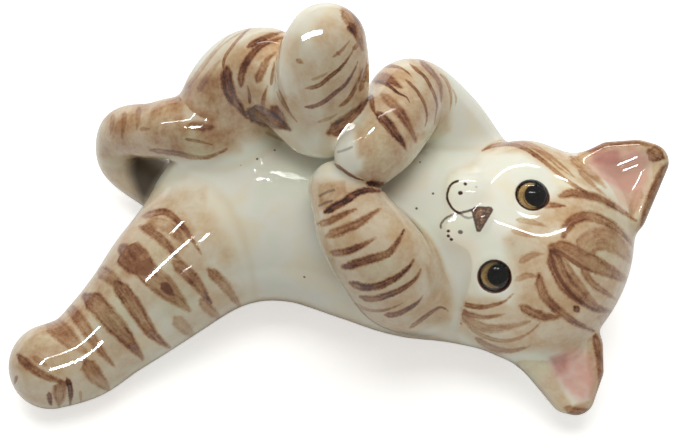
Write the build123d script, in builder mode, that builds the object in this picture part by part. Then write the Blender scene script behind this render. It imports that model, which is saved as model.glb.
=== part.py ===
"""Hollow cast animal lying on its back, with solid limbs, tail and ears and inset glass eyes.

The trunk rests flat on z = 0. The head is towards +X, the tail end towards -X, and the
animal's own right side is towards +Y. The face looks up and a little towards -Y.
All sizes are in millimetres.
"""
from build123d import *
import math
import os

os.makedirs("parts", exist_ok=True)

# ---------------------------------------------------------------- trunk sizes
WALL = 3.6                  # cast wall thickness
VENT_RADIUS = 2.0           # vent hole in the resting face
VENT_X, VENT_Y = 17.0, -1.0
TRUNK_SQUASH = 0.88         # height of a trunk section over its width
TRUNK_AXIS = Vector(1, -0.18, 0).normalized()
TRUNK_STATIONS = 8
TAIL_END_REACH = 0.78       # length of each rounded end over the radius there
HEAD_END_REACH = 0.6
NECK_CUT_FLOOR = -5.0       # the neck cutter runs on below the resting face
FLOOR_BOX_SIDE = 400
FLOOR_BOX_HEIGHT = 100

# angles, in degrees, of the sections that round off the end of a trunk or limb
CAP_ANGLES = (24, 44, 60, 72, 81, 86)

# spine rows: x, y, z of the centre line and the radius there
TRUNK = [
    (-30.7, 6.9, 15.0, 12.6), (-25.8, 6.1, 16.4, 17.0), (-17.4, 4.9, 17.2, 19.8),
    (-4.5, 3.4, 17.6, 21.3), (8.1, 0.7, 18.2, 23.2), (19.5, -2.0, 18.5, 24.3),
    (27.0, -3.8, 18.5, 22.8),
]

# each limb: number of sections it is skinned through, then its spine rows
LIMBS = {
    "left_hind": (7, [
        (-30.3, -3.8, 17.5, 15.8), (-38.1, -10.7, 16.0, 14.7), (-45.1, -17.2, 13.2, 12.5),
        (-51.9, -22.9, 10.8, 10.7), (-58.7, -28.6, 9.7, 9.8), (-65.2, -31.0, 9.5, 9.5)]),
    "right_thigh": (6, [
        (-23.4, 17.2, 24.0, 14.0), (-24.1, 21.8, 32.0, 12.8), (-20.1, 25.0, 42.0, 11.3),
        (-16.5, 23.9, 48.0, 9.4)]),
    "right_shin": (4, [
        (-17.5, 24.6, 46.0, 7.0), (-12.1, 19.3, 47.0, 8.4), (-6.1, 12.8, 44.0, 7.6)]),
    "right_foot": (5, [
        (-3.4, 11.9, 46.0, 8.3), (-3.6, 15.1, 53.0, 9.8), (-3.6, 17.4, 60.0, 9.9),
        (-2.7, 19.6, 66.0, 8.4)]),
    "right_fore": (10, [
        (28.2, 13.6, 22.0, 11.5), (22.4, 19.2, 32.0, 10.4), (16.0, 20.3, 41.5, 9.2),
        (12.4, 12.1, 46.5, 8.4), (9.0, 5.1, 49.0, 7.8), (5.9, 1.1, 49.5, 7.1)]),
    "left_fore": (9, [
        (21.6, -15.2, 22.0, 10.5), (14.3, -18.7, 27.0, 10.6), (9.5, -17.8, 36.0, 10.5),
        (4.7, -13.0, 41.0, 9.4), (1.4, -7.0, 43.5, 7.4), (-0.3, -4.3, 44.0, 6.5)]),
    "tail": (11, [
        (-35.3, 13.6, 8.5, 7.6), (-43.3, 17.1, 8.0, 6.4), (-51.5, 22.0, 11.0, 5.8),
        (-50.7, 23.9, 19.0, 5.9), (-42.4, 20.5, 27.0, 6.3), (-34.4, 17.8, 33.0, 6.9),
        (-28.2, 15.0, 36.0, 6.0)]),
}

# ---------------------------------------------------------------- head sizes
# Face frame: places on the head are (up, right, out), measured from the skull centre
# up to the crown, towards the right ear and out of the face.
HEAD_CENTRE = Vector(46.43, -8.94, 21.0)
CROWN = Vector(0.9168, -0.3569, -0.1790)
RIGHTWARD = Vector(0.3988, 0.8413, 0.3650)
OUTWARD = Vector(0.0203, -0.4061, 0.9136)

# sections from chin to crown: up, right, out of the centre, half width, half depth
SKULL = [
    (-26.9, -0.5, 4.2, 4.5, 3.6), (-26.0, -0.5, 3.6, 10.5, 8.0),
    (-23.0, -0.6, 2.2, 18.0, 13.2), (-17.0, -0.6, 1.0, 22.6, 16.6),
    (-8.0, -0.5, 0.3, 24.6, 18.6), (2.0, -0.4, 0.0, 24.2, 18.7),
    (9.5, -0.3, 0.0, 21.2, 16.4), (15.0, -0.3, 0.0, 15.6, 12.0),
    (18.0, -0.3, 0.0, 8.6, 6.6), (19.0, -0.3, 0.0, 3.0, 2.4),
]
SKULL_INSET_SCALE = 20.0    # an inset of this much would close the skull up along its height
MIN_HALF_WIDTH = 2.5        # narrower skull sections are left out

# ellipsoids: centre, then half sizes along up, right and out
MUZZLE = ((-20.0, 0.0, 9.5), (7.5, 9.5, 7.0))
NOSE = ((-17.0, 0.3, 16.2), (2.2, 2.9, 2.0))
CHEEK_PADS = (((-21.4, 4.3, 11.9), 5.2), ((-21.8, -4.3, 11.9), 5.2))    # centre, radius

# ears: outline before rounding and the base-to-tip line each one thins along, as
# (up, right), and how far out of the skull centre the ear's middle plane sits
EARS = {
    "right": dict(outline=[(-1.0, 21.5), (9.6, 29.8), (14.9, 31.0), (14.6, 13.0)],
                  base=(5.0, 15.0), tip=(16.5, 31.0), lift=3.5),
    "left": dict(outline=[(3.0, -21.5), (16.4, -28.4), (20.3, -27.6), (19.8, -19.5),
                          (16.6, -12.5)],
                 base=(5.0, -15.0), tip=(19.5, -28.5), lift=1.5),
}
EAR_ROUND = 2.4             # outline grown by this, with round corners
EAR_FILLET = 1.5
EAR_BASE_HALF = 4.6         # half thickness at base and tip
EAR_TIP_HALF = 2.3
EAR_BLANK_MARGIN = 3        # blank half thickness beyond the base half thickness
WEDGE_BEFORE_BASE = 12      # how far the thinning wedge runs past base and tip
WEDGE_PAST_TIP = 6
WEDGE_HALF_WIDTH = 60
EAR_HOLLOW_RADIUS = 14.5    # sphere that dishes the front of the ear
EAR_HOLLOW_OUT = 16.2       # its centre, out from the ear's middle plane
EAR_HOLLOW_SHARE = 0.58     # and its share of the way from base to tip

# ---------------------------------------------------------------- eye sizes
# centre of the glass rim as up, right, out; then sideways lean of the eye axis
EYES = {"right": ((-9.3, 10.1, 16.6), 0.28), "left": ((-9.9, -9.9, 16.6), -0.28)}
EYE_RADIUS = 3.3
SOCKET_DEPTH = 2.2          # socket floor behind the glass rim
SOCKET_CUT = 8              # length of the cutter, measured out from the socket floor
IRIS_THICK = 0.6
PUPIL_RADIUS = 2.35
PUPIL_THICK = 0.3
PUPIL_SHIFT = 0.6           # towards the crown
DOME_HEIGHT = 1.5
DOME_TRIM_SIDE = 20


# ---------------------------------------------------------------- curves and planes
def face_point(up, right, out):
    return HEAD_CENTRE + CROWN * up + RIGHTWARD * right + OUTWARD * out


def face_plane(up, right, out):
    """plane facing out of the face, with x towards the crown and y towards the right ear"""
    return Plane(origin=face_point(up, right, out), x_dir=CROWN, z_dir=OUTWARD)


def smooth(table, count):
    """evenly spaced rows on a cubic Hermite curve through the rows of a table"""
    gaps = [math.dist(row[:3], after[:3]) for row, after in zip(table, table[1:])]
    along = [0.0]
    for gap in gaps:
        along.append(along[-1] + gap)

    slopes = [None] * len(table)
    for i in range(1, len(table) - 1):
        before, after = gaps[i - 1], gaps[i]
        slopes[i] = [((c - b) / after * before + (b - a) / before * after) / (before + after)
                     for a, b, c in zip(table[i - 1], table[i], table[i + 1])]
    slopes[0] = [1.5 * (b - a) / gaps[0] - 0.5 * slope
                 for a, b, slope in zip(table[0], table[1], slopes[1])]
    slopes[-1] = [1.5 * (b - a) / gaps[-1] - 0.5 * slope
                  for a, b, slope in zip(table[-2], table[-1], slopes[-2])]

    rows = []
    for j in range(count):
        distance = along[-1] * j / (count - 1)
        i = min(len(gaps) - 1,
                max(k for k in range(len(along)) if along[k] <= distance + 1e-9))
        gap = gaps[i]
        t = (distance - along[i]) / gap
        start_weight = 2 * t**3 - 3 * t**2 + 1
        start_slope_weight = (t**3 - 2 * t**2 + t) * gap
        end_weight = 3 * t**2 - 2 * t**3
        end_slope_weight = (t**3 - t**2) * gap
        rows.append([
            start_weight * a + start_slope_weight * slope_a
            + end_weight * b + end_slope_weight * slope_b
            for a, b, slope_a, slope_b in zip(table[i], table[i + 1], slopes[i], slopes[i + 1])])
    return rows


def stations(table, count):
    """(plane, radius) square to the smooth curve; x axes are carried along without twist"""
    rows = smooth(table, count)
    result = []
    x_axis = None
    for i, (x, y, z, radius) in enumerate(rows):
        before = rows[max(i - 1, 0)]
        after = rows[min(i + 1, count - 1)]
        tangent = (Vector(*after[:3]) - Vector(*before[:3])).normalized()
        if x_axis is None:
            x_axis = Vector(0, 0, 1).cross(tangent)
        x_axis = (x_axis - tangent * x_axis.dot(tangent)).normalized()
        result.append((Plane(origin=(x, y, z), x_dir=x_axis, z_dir=tangent), radius))
    return result


# ---------------------------------------------------------------- outlines
def trunk(grow, floor):
    """the trunk outline grown by an amount, cut flat at a height, skinned as one surface"""
    rows = smooth(TRUNK, TRUNK_STATIONS)

    def cap(row, reach, sign):
        length = row[3] * reach + grow
        return [(Vector(*row[:3]) + TRUNK_AXIS * (sign * length * math.sin(math.radians(angle))),
                 (row[3] + grow) * math.cos(math.radians(angle))) for angle in CAP_ANGLES]

    middle = [(Vector(*row[:3]), row[3] + grow) for row in rows]
    sections = (cap(rows[0], TAIL_END_REACH, -1)[::-1] + middle
                + cap(rows[-1], HEAD_END_REACH, 1))
    with BuildPart() as body:
        for centre, radius in sections:
            with BuildSketch(Plane(origin=centre, x_dir=(0, 1, 0), z_dir=TRUNK_AXIS)):
                Ellipse(radius, radius * TRUNK_SQUASH)
        loft()
        with Locations((0, 0, floor - FLOOR_BOX_HEIGHT / 2)):
            Box(FLOOR_BOX_SIDE, FLOOR_BOX_SIDE, FLOOR_BOX_HEIGHT, mode=Mode.SUBTRACT)
    return body.part


def limb(count, table):
    """a smoothly tapered limb with round ends, skinned as one surface"""
    middle = stations(table, count)

    def cap(plane, radius, sign):
        return [(plane.offset(sign * radius * math.sin(math.radians(angle))),
                 radius * math.cos(math.radians(angle))) for angle in CAP_ANGLES]

    with BuildPart() as body:
        for plane, radius in cap(*middle[0], -1)[::-1] + middle + cap(*middle[-1], 1):
            with BuildSketch(plane):
                Circle(radius)
        loft()
    return body.part


def skull(inset):
    """the plain head outline, with the walls moved in by an amount"""
    with BuildPart() as body:
        for up, right, out, half_width, half_depth in SKULL:
            if half_width - inset < MIN_HALF_WIDTH:
                continue
            centre = face_point(up * (1 - inset / SKULL_INSET_SCALE), right, out)
            with BuildSketch(Plane(origin=centre, x_dir=RIGHTWARD, z_dir=CROWN)):
                Ellipse(half_width - inset, half_depth - inset)
        loft()
    return body.part


def ellipsoid(centre, half_sizes):
    with BuildPart() as blob:
        Sphere(1.0)
        scale(by=half_sizes)
    return blob.part.moved(face_plane(*centre).location)


def skull_with_features():
    """the solid head outline with muzzle, cheek pads and nose"""
    with BuildPart() as body:
        add(skull(0.0))
        add(ellipsoid(*MUZZLE))
        for centre, radius in CHEEK_PADS:
            with Locations(Location(face_point(*centre))):
                Sphere(radius)
        add(ellipsoid(*NOSE))
    return body.part


# ---------------------------------------------------------------- eyes
def eye_plane(side):
    """plane of the glass rim, square to the eye axis, with x towards the crown"""
    centre, lean = EYES[side]
    axis = (OUTWARD + RIGHTWARD * lean).normalized()
    return Plane(origin=face_point(*centre), x_dir=CROWN - axis * CROWN.dot(axis), z_dir=axis)


def eye_iris(side):
    """disc on the socket floor"""
    with BuildPart() as disc:
        with BuildSketch(eye_plane(side).offset(-SOCKET_DEPTH)):
            Circle(EYE_RADIUS)
        extrude(amount=IRIS_THICK)
    return disc.part


def eye_pupil(side):
    """smaller disc on top of the iris"""
    with BuildPart() as disc:
        with BuildSketch(eye_plane(side).offset(-SOCKET_DEPTH + IRIS_THICK)):
            with Locations((PUPIL_SHIFT, 0)):
                Circle(PUPIL_RADIUS)
        extrude(amount=PUPIL_THICK)
    return disc.part


def eye_glass(side):
    """plano-convex glass with the pupil let into its back"""
    rim_height = SOCKET_DEPTH - IRIS_THICK
    ball_radius = (EYE_RADIUS ** 2 + DOME_HEIGHT ** 2) / (2 * DOME_HEIGHT)
    with BuildPart() as dome:
        with Locations((0, 0, DOME_HEIGHT - ball_radius)):
            Sphere(ball_radius)
        with Locations((0, 0, -ball_radius * 2)):
            Box(DOME_TRIM_SIDE, DOME_TRIM_SIDE, ball_radius * 4, mode=Mode.SUBTRACT)
        with Locations((0, 0, -rim_height / 2)):
            Cylinder(EYE_RADIUS, rim_height)
    return trimmed([dome.part.moved(eye_plane(side).location)], [eye_pupil(side)])


# ---------------------------------------------------------------- pieces
def trimmed(bodies, neighbours):
    """bodies joined, then cut back where they meet their neighbours"""
    with BuildPart() as piece:
        for body in bodies:
            add(body)
        for neighbour in neighbours:
            add(neighbour, mode=Mode.SUBTRACT)
    return piece.part


def hollow_torso(trunk_full):
    with BuildPart() as torso:
        add(trunk_full)
        add(trunk(-WALL, WALL), mode=Mode.SUBTRACT)
        with Locations((VENT_X, VENT_Y, WALL / 2)):
            Cylinder(VENT_RADIUS, WALL + 2, mode=Mode.SUBTRACT)
    return torso.part


def hollow_head(skull_full, trunk_full):
    # the hollow stops a wall short of the trunk, which leaves the neck closed
    hollow = skull(WALL) - trunk(WALL, NECK_CUT_FLOOR)
    with BuildPart() as head:
        add(skull_full)
        add(trunk_full, mode=Mode.SUBTRACT)
        add(hollow, mode=Mode.SUBTRACT)
        for side in EYES:
            with BuildSketch(eye_plane(side).offset(-SOCKET_DEPTH)):
                Circle(EYE_RADIUS)
            extrude(amount=SOCKET_CUT, mode=Mode.SUBTRACT)
    return head.part


def ear(skull_full, outline, base, tip, lift):
    """a rounded flap that thins towards its tip, dished in front and cut to the skull"""
    axis = CROWN * (tip[0] - base[0]) + RIGHTWARD * (tip[1] - base[1])
    reach = axis.length
    axis = axis.normalized()
    slope = (EAR_BASE_HALF - EAR_TIP_HALF) / reach
    wedge_end = reach + WEDGE_PAST_TIP
    half_at_start = EAR_BASE_HALF + WEDGE_BEFORE_BASE * slope
    half_at_end = EAR_TIP_HALF - WEDGE_PAST_TIP * slope
    dish_up, dish_right = (b * (1 - EAR_HOLLOW_SHARE) + t * EAR_HOLLOW_SHARE
                           for b, t in zip(base, tip))
    with BuildPart() as shell:
        with BuildSketch(face_plane(0, 0, lift)):
            Polygon(*outline, align=None)
            offset(amount=EAR_ROUND, kind=Kind.ARC)
        extrude(amount=EAR_BASE_HALF + EAR_BLANK_MARGIN, both=True)
        with BuildSketch(Plane(origin=face_point(*base, lift), x_dir=axis,
                               z_dir=axis.cross(OUTWARD))):
            Polygon((-WEDGE_BEFORE_BASE, half_at_start), (wedge_end, half_at_end),
                    (wedge_end, -half_at_end), (-WEDGE_BEFORE_BASE, -half_at_start), align=None)
        extrude(amount=WEDGE_HALF_WIDTH, both=True, mode=Mode.INTERSECT)
        fillet(shell.edges(), radius=EAR_FILLET)
        with Locations(Location(face_point(dish_up, dish_right, lift + EAR_HOLLOW_OUT))):
            Sphere(EAR_HOLLOW_RADIUS, mode=Mode.SUBTRACT)
        add(skull_full, mode=Mode.SUBTRACT)
    return shell.part


trunk_full = trunk(0.0, 0.0)
skull_full = skull_with_features()
full = {name: limb(*spec) for name, spec in LIMBS.items()}
left_hind, thigh = full["left_hind"], full["right_thigh"]
shin, foot = full["right_shin"], full["right_foot"]
right_fore, left_fore = full["right_fore"], full["left_fore"]

pieces = {
    "torso": hollow_torso(trunk_full),
    "head": hollow_head(skull_full, trunk_full),
    "left_hind_leg": trimmed([left_hind], [trunk_full]),
    "right_thigh": trimmed([thigh], [trunk_full, left_hind]),
    "right_hind_foot": trimmed([shin, foot], [thigh, trunk_full]),
    "tail": trimmed([full["tail"]], [trunk_full, left_hind, thigh]),
    "right_foreleg": trimmed([right_fore], [trunk_full, skull_full, foot, shin]),
    "left_foreleg": trimmed([left_fore], [trunk_full, skull_full, right_fore, foot]),
}
for side in ("left", "right"):
    pieces[f"{side}_ear"] = ear(skull_full, **EARS[side])
    pieces[f"{side}_eye_iris"] = eye_iris(side)
    pieces[f"{side}_eye_pupil"] = eye_pupil(side)
    pieces[f"{side}_eye_glass"] = eye_glass(side)

# trimming can leave loose slivers, so only the largest solid of each piece is kept
for label, piece in pieces.items():
    solid = max(piece.solids(), key=lambda candidate: candidate.volume)
    solid.label = label
    export_step(solid, f"parts/{label}.step")
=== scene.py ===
"""A glazed, hand-painted ceramic kitten lying on its back, with its floor, lights and camera.

The head points to +X, the belly and face to +Z, and its right side is +Y. The script's own
lengths are millimetres. One distance field gives the whole body, which is then cut into the
moulded pieces. The brush work is drawn on a plan square to the painter's view and stored on
the meshes as attributes that the glaze reads.
"""
import math

import bpy
import mathutils
import numpy as np
import openvdb as vdb
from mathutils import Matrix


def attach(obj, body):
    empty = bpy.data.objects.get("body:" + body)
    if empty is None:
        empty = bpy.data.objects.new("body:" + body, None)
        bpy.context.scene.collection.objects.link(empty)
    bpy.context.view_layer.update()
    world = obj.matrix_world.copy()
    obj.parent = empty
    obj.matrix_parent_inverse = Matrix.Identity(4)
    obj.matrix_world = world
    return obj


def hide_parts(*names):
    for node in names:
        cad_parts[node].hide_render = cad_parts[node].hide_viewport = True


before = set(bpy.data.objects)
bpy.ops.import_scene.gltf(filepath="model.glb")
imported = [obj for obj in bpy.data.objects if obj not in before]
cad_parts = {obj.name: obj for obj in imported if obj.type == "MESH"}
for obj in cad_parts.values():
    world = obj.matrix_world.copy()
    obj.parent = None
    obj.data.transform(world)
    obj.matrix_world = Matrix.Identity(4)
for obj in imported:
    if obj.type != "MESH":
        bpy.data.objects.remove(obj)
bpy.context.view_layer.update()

MM = 0.001                      # metres in a millimetre
VOXEL = 0.32
COARSE = 6                      # voxels between the samples of the first, coarse field
BOX_LOW = np.array([-79.0, -48.0, -1.5])
BOX_HIGH = np.array([79.0, 42.0, 79.0])
FAR = 30.0                      # distance given to points well away from a piece

# The painter's view, shared by the camera: from above, leaning towards -Y
ELEVATION = math.radians(62.0)
VIEW_DISTANCE = 480.0
VIEW_WIDTH = 154.4725           # what the camera spans at the target
TARGET = np.array([0.0, 0.0, 22.0])
VIEW_RIGHT = np.array([1.0, 0.0, 0.0])
VIEW_UP = np.array([0.0, math.sin(ELEVATION), math.cos(ELEVATION)])
TO_VIEWER = np.array([0.0, -math.cos(ELEVATION), math.sin(ELEVATION)])

# ------------------------------------------------------------------ shape tables
# Spines: x, y, z, radius
SPINES = {
    "torso": [
        (-30.7, 6.9, 15.0, 12.6), (-25.8, 6.1, 16.4, 17.0), (-17.4, 4.9, 17.2, 19.8),
        (-4.5, 3.4, 17.6, 21.3), (8.1, 0.7, 18.2, 23.2), (19.5, -2.0, 18.5, 24.3),
        (27.0, -3.8, 18.5, 22.8)],
    "left_hind_leg": [
        (-30.3, -3.8, 17.5, 15.8), (-38.1, -10.7, 16.0, 14.7), (-45.1, -17.2, 13.2, 12.5),
        (-51.9, -22.9, 10.8, 10.7), (-58.7, -28.6, 9.7, 9.8), (-65.2, -31.0, 9.5, 9.5)],
    "tail": [
        (-35.3, 13.6, 8.5, 7.6), (-43.3, 17.1, 8.0, 6.4), (-51.5, 22.0, 11.0, 5.8),
        (-50.7, 23.9, 19.0, 5.9), (-42.4, 20.5, 27.0, 6.3), (-34.4, 17.8, 33.0, 6.9),
        (-28.2, 15.0, 36.0, 6.0)],
    "right_thigh": [
        (-23.4, 17.2, 24.0, 14.0), (-24.1, 21.8, 32.0, 12.8), (-20.1, 25.0, 42.0, 11.3),
        (-16.5, 23.9, 48.0, 9.4)],
    "right_shin": [
        (-17.5, 24.6, 46.0, 7.0), (-12.1, 19.3, 47.0, 8.4), (-6.1, 12.8, 44.0, 7.6)],
    "right_foot": [
        (-3.4, 11.9, 46.0, 8.3), (-3.6, 15.1, 53.0, 9.8), (-3.6, 17.4, 60.0, 9.9),
        (-2.7, 19.6, 66.0, 8.4)],
    "right_foreleg": [
        (28.2, 13.6, 22.0, 11.5), (22.4, 19.2, 32.0, 10.4), (16.0, 20.3, 41.5, 9.2),
        (12.4, 12.1, 46.5, 8.4), (9.0, 5.1, 49.0, 7.8), (5.9, 1.1, 49.5, 7.1)],
    "left_foreleg": [
        (21.6, -15.2, 22.0, 10.5), (14.3, -18.7, 27.0, 10.6), (9.5, -17.8, 36.0, 10.5),
        (4.7, -13.0, 41.0, 9.4), (1.4, -7.0, 43.5, 7.4), (-0.3, -4.3, 44.0, 6.5)],
}
SPINE_STEPS = {"torso": 30, "left_hind_leg": 36, "tail": 44, "right_thigh": 28,
               "right_shin": 14, "right_foot": 22, "right_foreleg": 40, "left_foreleg": 34}
TORSO_FLATTEN = 0.88
PIECES = ["torso", "head", "right_ear", "left_ear", "left_hind_leg", "right_thigh",
          "right_hind_foot", "tail", "right_foreleg", "left_foreleg"]

# The head's frame. Places on the head are (towards the crown, towards the right ear, out).
HEAD_CENTRE = np.array([46.43, -8.94, 21.0])
TO_CROWN = np.array([0.9168, -0.3569, -0.1790])
TO_RIGHT_EAR = np.array([0.3988, 0.8413, 0.3650])
FACE_OUT = np.array([0.0203, -0.4061, 0.9136])
FACE_AXES = np.array([TO_CROWN, TO_RIGHT_EAR, FACE_OUT])

# Side +1 is the kitten's right and -1 its left
EARS = {
    1: dict(outline=[(-1.0, 21.5), (3.3, 26.6), (9.6, 30.1), (14.9, 31.0), (14.6, 13.0)],
            base=(5.0, 15.0), tip=(16.5, 31.0), lift=3.5, corner=1.7,
            dish=[(4.0, 21.0), (10.4, 27.6), (13.6, 28.6), (13.4, 17.0)]),
    -1: dict(outline=[(3.0, -21.5), (16.4, -28.4), (20.3, -27.6), (19.8, -19.5), (16.6, -12.5)],
             base=(5.0, -15.0), tip=(19.5, -28.5), lift=1.5, corner=1.9,
             dish=[(8.0, -20.6), (15.6, -25.6), (18.6, -25.4), (18.2, -19.5), (15.8, -16.0)]),
}
EAR_BASE_HALF, EAR_TIP_HALF = 5.0, 2.4      # half thickness at each end
EAR_DISH_DEPTH = 1.7
# place on the head, lean towards the right ear, and the rim's thick corner: strength, angle
EYES = {1: dict(place=(-9.3, 10.1, 16.6), lean=0.28, corner=(1.0, 0.45)),
        -1: dict(place=(-9.9, -9.9, 16.6), lean=-0.28, corner=(0.4, 0.5))}
EYE_RADIUS = 3.3
SOCKET_GAP, SOCKET_DEPTH = 0.02, 2.2

VENT_X, VENT_Y, VENT_RADIUS, VENT_TOP = 17.0, -1.0, 2.0, 6.0     # hole in the base
# Faint waves in the surface: wave vector, phase, height
LUMPS = [((0.12, 0.08, 0.06), 0.3, 0.12), ((-0.06, 0.14, 0.10), 1.7, 0.12),
         ((0.06, -0.10, 0.16), 4.1, 0.10)]


# ------------------------------------------------------------------ distance tools
def unit(vector):
    vector = np.asarray(vector, float)
    return vector / np.linalg.norm(vector)


def fade(x, start, end):
    """0 before start, 1 after end, smooth between"""
    share = np.clip((x - start) / (end - start), 0, 1)
    return share * share * (3 - 2 * share)


def join(a, b, soft):
    """the union of two distances with a soft seam"""
    seam = np.maximum(soft - np.abs(a - b), 0) / soft
    return np.minimum(a, b) - seam * seam * seam * soft / 6


def overlap(a, b, soft):
    return -join(-a, -b, soft)


def resample(rows, count):
    """even stations on a smooth curve through the rows; the first three columns are places"""
    rows = np.asarray(rows, float)
    gap = np.linalg.norm(np.diff(rows[:, :3], axis=0), axis=1)
    station = np.r_[0, np.cumsum(gap)]
    wanted = np.linspace(0, station[-1], count)
    rate = np.diff(rows, axis=0) / gap[:, None]
    slope = np.zeros_like(rows)
    slope[1:-1] = ((rate[1:] * gap[:-1, None] + rate[:-1] * gap[1:, None])
                   / (gap[:-1] + gap[1:])[:, None])
    slope[0] = 1.5 * (rows[1] - rows[0]) / gap[0] - 0.5 * slope[1]
    slope[-1] = 1.5 * (rows[-1] - rows[-2]) / gap[-1] - 0.5 * slope[-2]
    i = np.clip(np.searchsorted(station, wanted, "right") - 1, 0, len(gap) - 1)
    span = gap[i][:, None]
    t = ((wanted - station[i]) / gap[i])[:, None]
    return ((2*t**3 - 3*t**2 + 1) * rows[i] + (t**3 - 2*t**2 + t) * span * slope[i]
            + (-2*t**3 + 3*t**2) * rows[i + 1] + (t**3 - t**2) * span * slope[i + 1])


def outline_distance(x, y, outline):
    """distance to a closed outline, below zero inside"""
    corners = np.asarray(outline, float)
    squared = np.full(x.shape, 1e9)
    inside = np.zeros(x.shape, bool)
    for i in range(len(corners)):
        a, b = corners[i - 1], corners[i]
        edge = b - a
        right, up = x - a[0], y - a[1]
        t = np.clip((right * edge[0] + up * edge[1]) / (edge @ edge), 0, 1)
        squared = np.minimum(squared, (right - t * edge[0])**2 + (up - t * edge[1])**2)
        if a[1] != b[1]:
            crossing = edge[0] * up / edge[1] + a[0]
            inside ^= ((a[1] > y) != (b[1] > y)) & (x < crossing)
    return np.where(inside, -1, 1) * np.sqrt(squared)


def inset(outline, depth):
    """an outline moved inwards, so that rounding it by the same depth softens its corners"""
    corners = np.asarray(outline, float)
    first, second = corners[1] - corners[0], corners[2] - corners[0]
    if first[0] * second[1] - first[1] * second[0] < 0:
        corners = corners[::-1]
    moved = []
    for i in range(len(corners)):
        before, here, after = corners[i - 1], corners[i], corners[(i + 1) % len(corners)]
        edges = unit(here - before), unit(after - here)
        inward = np.array([[-edge[1], edge[0]] for edge in edges])
        moved.append(np.linalg.solve(inward, inward @ here + depth))
    return np.array(moved)


# ------------------------------------------------------------------ the pieces' distances
def limb(points, key, flatten=1.0):
    """distance to a ball swept along a spine; flatten scales the limb in z about its middle"""
    table = np.asarray(SPINES[key])
    reach = table[:, 3].max() + 12
    low, high = table[:, :3].min(0) - reach, table[:, :3].max(0) + reach
    close = ((points > low) & (points < high)).all(1)
    near = points[close]
    stations = resample(table, SPINE_STEPS[key])
    centres, radii = stations[:, :3], stations[:, 3]
    if flatten != 1.0:
        middle = centres.mean(0)[2]
        near[:, 2] = middle + (near[:, 2] - middle) / flatten
        centres[:, 2] = middle + (centres[:, 2] - middle) / flatten
    best = np.full(len(near), 1e9)
    for i in range(len(centres) - 1):
        step = centres[i + 1] - centres[i]
        offset = near - centres[i]
        t = np.clip((offset @ step) / (step @ step), 0, 1)
        gap = np.sqrt(((offset - t[:, None] * step)**2).sum(1))
        np.minimum(best, gap - (radii[i] + (radii[i + 1] - radii[i]) * t), out=best)
    distance = np.full(len(points), FAR)
    distance[close] = best * flatten
    return distance


def on_head(place):
    crown, ear_side, out = place
    return HEAD_CENTRE + TO_CROWN * crown + TO_RIGHT_EAR * ear_side + FACE_OUT * out


def eye_frame(side):
    """an eye's centre, then its axes: x to the crown, z out of the eye"""
    eye = EYES[side]
    z = unit(FACE_OUT + TO_RIGHT_EAR * eye["lean"])
    x = unit(TO_CROWN - z * (TO_CROWN @ z))
    return on_head(eye["place"]), x, np.cross(z, x), z


def blob(points, place, radii):
    """distance to an ellipsoid on the head"""
    radii = np.asarray(radii, float)
    local = (points - on_head(place)) @ FACE_AXES.T
    scaled = np.sqrt(((local / radii)**2).sum(1))
    steepness = np.sqrt(((local / radii**2)**2).sum(1))
    return scaled * (scaled - 1) / np.maximum(steepness, 1e-9)


def head(points):
    crown, across, out = ((points - HEAD_CENTRE) @ FACE_AXES.T).T

    def patch(middle, width):
        """1 at a place on the face, fading away from it"""
        spread = ((crown - middle[0]) / width[0])**2 + ((across - middle[1]) / width[1])**2
        return np.exp(-spread) * (out > 5)

    skull = join(blob(points, (0.3, -0.3, 0.0), (18.8, 24.4, 18.8)),
                 blob(points, (-10.5, -0.6, 1.0), (16.0, 23.6, 16.5)), 6.0)
    for side in (1, -1):        # hollows about the eyes, then the raised bridge between
        eye_crown, eye_across = EYES[side]["place"][:2]
        skull = skull + 0.45 * patch((eye_crown + 0.5, eye_across * 0.93), (6.0, 5.2))
    skull = skull - 0.45 * patch((-9.5, 0.2), (8.0, 3.4))

    muzzle = blob(points, (-20.0, 0.0, 9.3), (7.5, 9.5, 7.0))
    for side in (1, -1):
        centre = on_head((-21.6, 4.5 * side, 11.5))
        pad = np.linalg.norm(points - centre, axis=1) - 5.0
        muzzle = join(muzzle, pad, 2.2)
    chin = blob(points, (-26.6, -0.2, 8.2), (3.2, 4.6, 4.2))
    nose_tip = blob(points, (-17.0, 0.3, 16.2), (2.0, 2.7, 1.7))
    return join(join(skull, join(muzzle, chin, 2.0), 4.5), nose_tip, 1.8)


def ear(points, side):
    """a thick triangular leaf, thinner to the tip, dished on the face side"""
    shape = EARS[side]
    crown, across, out = ((points - HEAD_CENTRE) @ FACE_AXES.T).T
    out = out - shape["lift"]
    corner = shape["corner"]
    sideways = outline_distance(crown, across, inset(shape["outline"], corner)) - corner
    base = np.array(shape["base"])
    axis = np.array(shape["tip"]) - base
    length = np.linalg.norm(axis)
    axis /= length
    along = ((crown - base[0]) * axis[0] + (across - base[1]) * axis[1]) / length
    half = EAR_BASE_HALF + (EAR_TIP_HALF - EAR_BASE_HALF) * np.clip(along, 0, 1)
    rounding = EAR_TIP_HALF
    thick = np.abs(out) - half + rounding
    outside = np.sqrt(np.maximum(sideways, 0)**2 + np.maximum(thick, 0)**2)
    leaf = np.minimum(np.maximum(sideways, thick), 0) + outside - rounding
    dish = fade(-outline_distance(crown, across, shape["dish"]), -2.6, 2.4)
    return leaf + EAR_DISH_DEPTH * dish * fade(out, 0.0, 1.2)


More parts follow.
